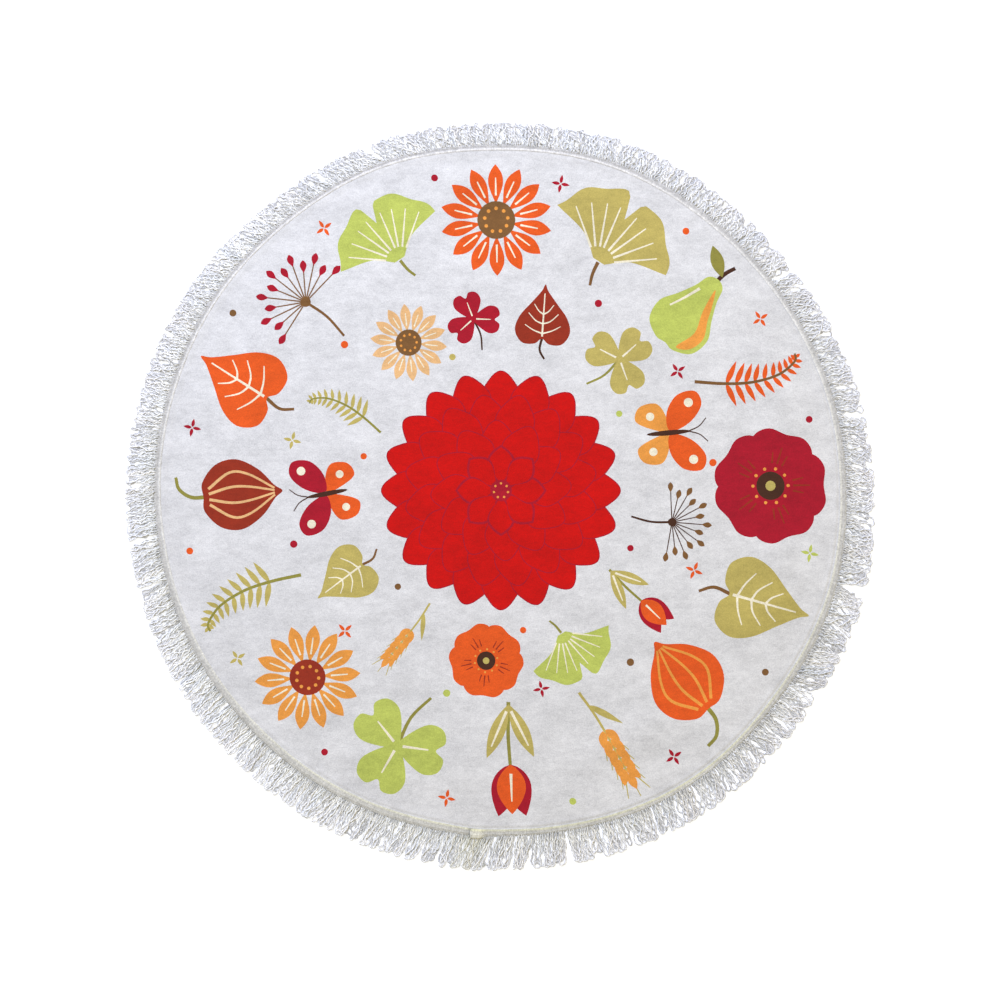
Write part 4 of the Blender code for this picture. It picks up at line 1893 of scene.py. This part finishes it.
        # Out along one leg, round the cap and back along the other
        columns = (angle, reach, half, lean, bow, level, wring, curled)
        angle, reach, half, lean, bow, level, wring, curled = (column[:, None] for column in columns)
        straight, cap = reach - half, np.pi * half
        run = np.linspace(0.0, 1.0, 150)[None, :] * (2 * straight + cap)
        in_cap = np.clip((run - straight) / half, 0.0, np.pi)
        out = np.minimum(run, straight) - np.maximum(run - straight - cap, 0.0) + half * np.sin(in_cap)
        share = out / reach
        across = -np.cos(in_cap) * half * (0.50 + 0.50 * soft_step(share / 0.8))
        turn = wring * np.clip(1.0 - share, 0.0, 1.0) ** 1.15
        rise = np.sin(turn) * across / half * 0.0015
        fade = soft_step(share / 0.18) * curled
        first, second, wobble, stray, along = (
            fade * size * np.sin(run * 2 * np.pi / pitch + phase)
            for (size, pitch), phase in zip(self.crinkles, phases)
        )
        sideways = across * np.cos(turn) + lean * share + bow * share**2 + first + second + stray
        out = out + along
        sunk = 0.0018 * (1.0 - soft_step(out / 0.0075)) * (1.0 - 0.8 * self.facing(angle))
        height = np.maximum(level * (1.0 - 0.15 * share) + rise + wobble - sunk, self.yarn * 1.1)
        radius = fringe_root(angle) - self.rooted + 0.0022 * near(angle, *OPEN_EDGE) + out
        at = angle + sideways / radius
        return even(np.stack([np.cos(at) * radius, np.sin(at) * radius, height], axis=-1), row.steps)

    def shades(self, paths: Array, brightness: float, draws: np.random.Generator) -> Array:
        """Tints each place: mostly white, some loops greyer, bluer or creamier, and all duller at the roots
        with painted shade, more so in a few shaded stretches.

        Args:
            paths: The loops' places.
            brightness: The row's own painted brightness: the lower row is painted darker, as shade under the
                upper row.
            draws: Gives the random numbers.

        Returns:
            A linear colour for each place of each loop.
        """
        count = len(paths)
        angle = np.arctan2(paths[:, 0, 1], paths[:, 0, 0])
        value = brightness * (1.0 - self.greyest * draws.random(count) ** 1.5)
        creamy = 1.0 - 0.10 * near(angle, *self.creamy_at)
        warm = draws.normal(0.0, self.warmth, count)
        value = value * creamy
        tint = np.stack([value * (1.0 + warm), value, value * (1.0 - 1.4 * warm) * creamy], axis=1)

        # From the roots outwards: painted shade, darkest at the roots and least where they lie in the open
        # at the back
        angle = angle[:, None]
        out = np.hypot(paths[..., 0], paths[..., 1]) - fringe_root(np.arctan2(paths[..., 1], paths[..., 0]))
        root = 0.82 + 0.16 * self.facing(angle) + draws.uniform(-0.16, 0.09, count)[:, None]
        painted_shade = root + (1.0 - root) * soft_step((out + 0.001) / 0.013)
        for by, middle, spread, reach in self.darker:
            painted_shade = painted_shade * (1.0 - by * near(angle, middle, spread) * (1.0 - soft_step(out / reach)))
        painted_shade = painted_shade * (1.0 + 0.07 * near(angle, *self.loose_at) * soft_step((out - 0.018) / 0.025))
        for middle, spread, by in PALE_YARN:
            painted_shade = painted_shade * (1.0 + by * near(angle, math.radians(middle), spread))
        cool = 0.945 + 0.055 * soft_step(out / 0.055) + 0.02 * np.cos(angle - math.radians(60.0))
        return tint[:, None, :] * np.stack([painted_shade, painted_shade, painted_shade * cool], axis=-1)

    def undershade(self, piece: bpy.types.Object) -> Array:
        """Works out the painted shade of the packed fibres: full light on top, least at the sides, near the
        roots and at the tips.

        Args:
            piece: Some of the loops.

        Returns:
            A linear tint of painted shade for each point.
        """
        vertices = piece.data.vertices
        normals, places = np.empty(len(vertices) * 3, np.float32), np.empty(len(vertices) * 3, np.float32)
        vertices.foreach_get("normal", normals)
        vertices.foreach_get("co", places)
        lit = soft_step(normals[2::3] + 0.25)[:, None]
        angle = np.arctan2(places[1::3], places[::3])
        out = np.hypot(places[::3], places[1::3]) - fringe_root(angle)
        usual = self.length + waves(LENGTH_WAVES, angle) - self.rooted
        tip = soft_step((out / usual - 0.80) / 0.15)
        side = np.array(self.side_shade) * (0.91 + 0.22 * soft_step(out / 0.050) - 0.33 * tip)[:, None]
        return lit + (1.0 - lit) * side

    def make(self, ply: bpy.types.NodeTree) -> list[bpy.types.Object]:
        """Makes and dresses the loops.

        Args:
            ply: The group that twists the yarn.

        Returns:
            The finished pieces, in their order round the towel.
        """
        draws = np.random.default_rng(self.seed)
        material = self.finish.build(ply)
        pieces = []
        for row in self.rows:
            paths = self.paths(row, draws)
            shades = self.shades(paths, row.shade, draws)
            for number, chosen in enumerate(np.array_split(np.arange(row.count), row.parts)):
                piece = self.strand.make(f"{row.name}_{number + 1}", paths[chosen])
                tint = np.repeat(shades[chosen].reshape(-1, 3), self.strand.sides, axis=0)
                # The stored shade holds each loop's tint times its painted shade
                store_colours(piece.data, "shade", "POINT", tint * self.undershade(piece))
                piece.data.materials.append(material)
                pieces.append(piece)
        return pieces


# ---------------------------------------------------------------------------------------------------
# The room


@dataclass(frozen=True)
class SoftLight:
    """A square soft light that faces the towel's middle.

    Args:
        name: The light's name.
        place: Where it hangs.
        size: Its side.
        watts: Its power.
        colour: Its linear colour.
    """

    name: str
    place: tuple[float, float, float]
    size: float
    watts: float
    colour: Colour

    def hang(self) -> None:
        """Makes the light and hangs it."""
        data = bpy.data.lights.new(self.name, "AREA")
        data.color = self.colour
        data.shape = "SQUARE"
        data.size = self.size
        data.energy = self.watts
        light = bpy.data.objects.new(self.name, data)
        light.location = self.place
        light.rotation_euler = (-Vector(self.place)).to_track_quat("-Z", "Y").to_euler()
        bpy.context.scene.collection.objects.link(light)


@dataclass
class Studio:
    """The pale floor, the soft lights and the camera over the towel.

    Args:
        metres_per_pixel: The photograph's scale.
        middle: The towel's middle in the photograph, in pixels from its upper left corner.
        frame: The photograph's width and height in pixels.
        lens: The camera's focal length in millimetres.
        floor_size: The floor's side.
        floor_drop: How far under the towel it lies.
        air: The linear colour of the light from all round.
        air_strength: Its strength.
        lights: The soft lights, the stronger one from the upper left.
        finish: The floor's paint.
    """

    metres_per_pixel: float = 0.002016
    middle: tuple[float, float] = (501.0, 490.5)
    frame: tuple[float, float] = (1000.0, 1000.0)
    lens: float = 100.0
    floor_size: float = 30.0
    floor_drop: float = 0.0002
    air: Colour = (1.0, 0.947, 0.800)
    air_strength: float = 0.434
    lights: tuple[SoftLight, ...] = (
        SoftLight("key_light", (-1.6, 3.1, 3.9), 1.2, 278.0, (0.680, 0.745, 1.0)),
        SoftLight("fill_light", (2.6, -0.6, 3.6), 3.0, 43.0, (1.0, 0.885, 0.620)),
    )
    finish: FloorFinish = FloorFinish("pale_floor")

    def make_floor(self) -> None:
        """Lays the floor at the towel's underside."""
        bpy.ops.object.select_all(action="DESELECT")
        bpy.ops.mesh.primitive_plane_add(size=self.floor_size, location=(0.0, 0.0, -self.floor_drop))
        floor = bpy.context.object
        floor.name = "studio_floor"
        floor.data.materials.append(self.finish.build())

    def make_light(self) -> None:
        """Lights the towel softly from all round, and a little more from the upper left."""
        world = bpy.data.worlds.new("studio_air")
        world.use_nodes = True
        world.node_tree.nodes["Background"].inputs["Color"].default_value = (*self.air, 1.0)
        world.node_tree.nodes["Background"].inputs["Strength"].default_value = self.air_strength
        bpy.context.scene.world = world
        for light in self.lights:
            light.hang()

    def make_camera(self) -> None:
        """Hangs the camera straight over the photograph's middle."""
        data = bpy.data.cameras.new("camera")
        data.lens = self.lens
        data.sensor_fit = "HORIZONTAL"
        data.clip_end = 100.0
        camera = bpy.data.objects.new("camera", data)
        across = (self.frame[0] / 2 - self.middle[0]) * self.metres_per_pixel
        up = (self.middle[1] - self.frame[1] / 2) * self.metres_per_pixel
        away = self.frame[0] * self.metres_per_pixel * self.lens / data.sensor_width
        camera.location = (across, up, away)
        bpy.context.scene.collection.objects.link(camera)
        bpy.context.scene.camera = camera

    def make(self) -> None:
        """Sets up the whole room."""
        self.make_floor()
        self.make_light()
        self.make_camera()
        bpy.context.scene.view_settings.view_transform = "Standard"


def attach(piece: bpy.types.Object, node: str) -> None:
    """Makes a piece ride on the towel in place of a CAD node.

    Args:
        piece: The finished piece.
        node: The CAD node's name.
    """
    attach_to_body(piece, "root")
    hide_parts(node)
    LOG.info("%s: %d points, %d faces", piece.name, len(piece.data.vertices), len(piece.data.polygons))


def write_sizes() -> None:
    """Brings the scene's placements up to date."""
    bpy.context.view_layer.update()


def main() -> None:
    """Builds the towel and the room round it."""
    logging.basicConfig(level=logging.INFO)
    nap, ply = nap_group(), ply_group()
    Studio().make()
    cloth = Cloth().make(nap)
    attach(cloth, "towel")
    tape = HeadingTape()
    tape_piece = tape.make(nap)
    stitches = StitchRow(tape).make(ply)
    loops = LoopFringe().make(ply)
    for piece in [tape_piece, stitches, *loops]:
        attach(piece, "fringe")
    write_sizes()


if __name__ == "__main__":
    main()
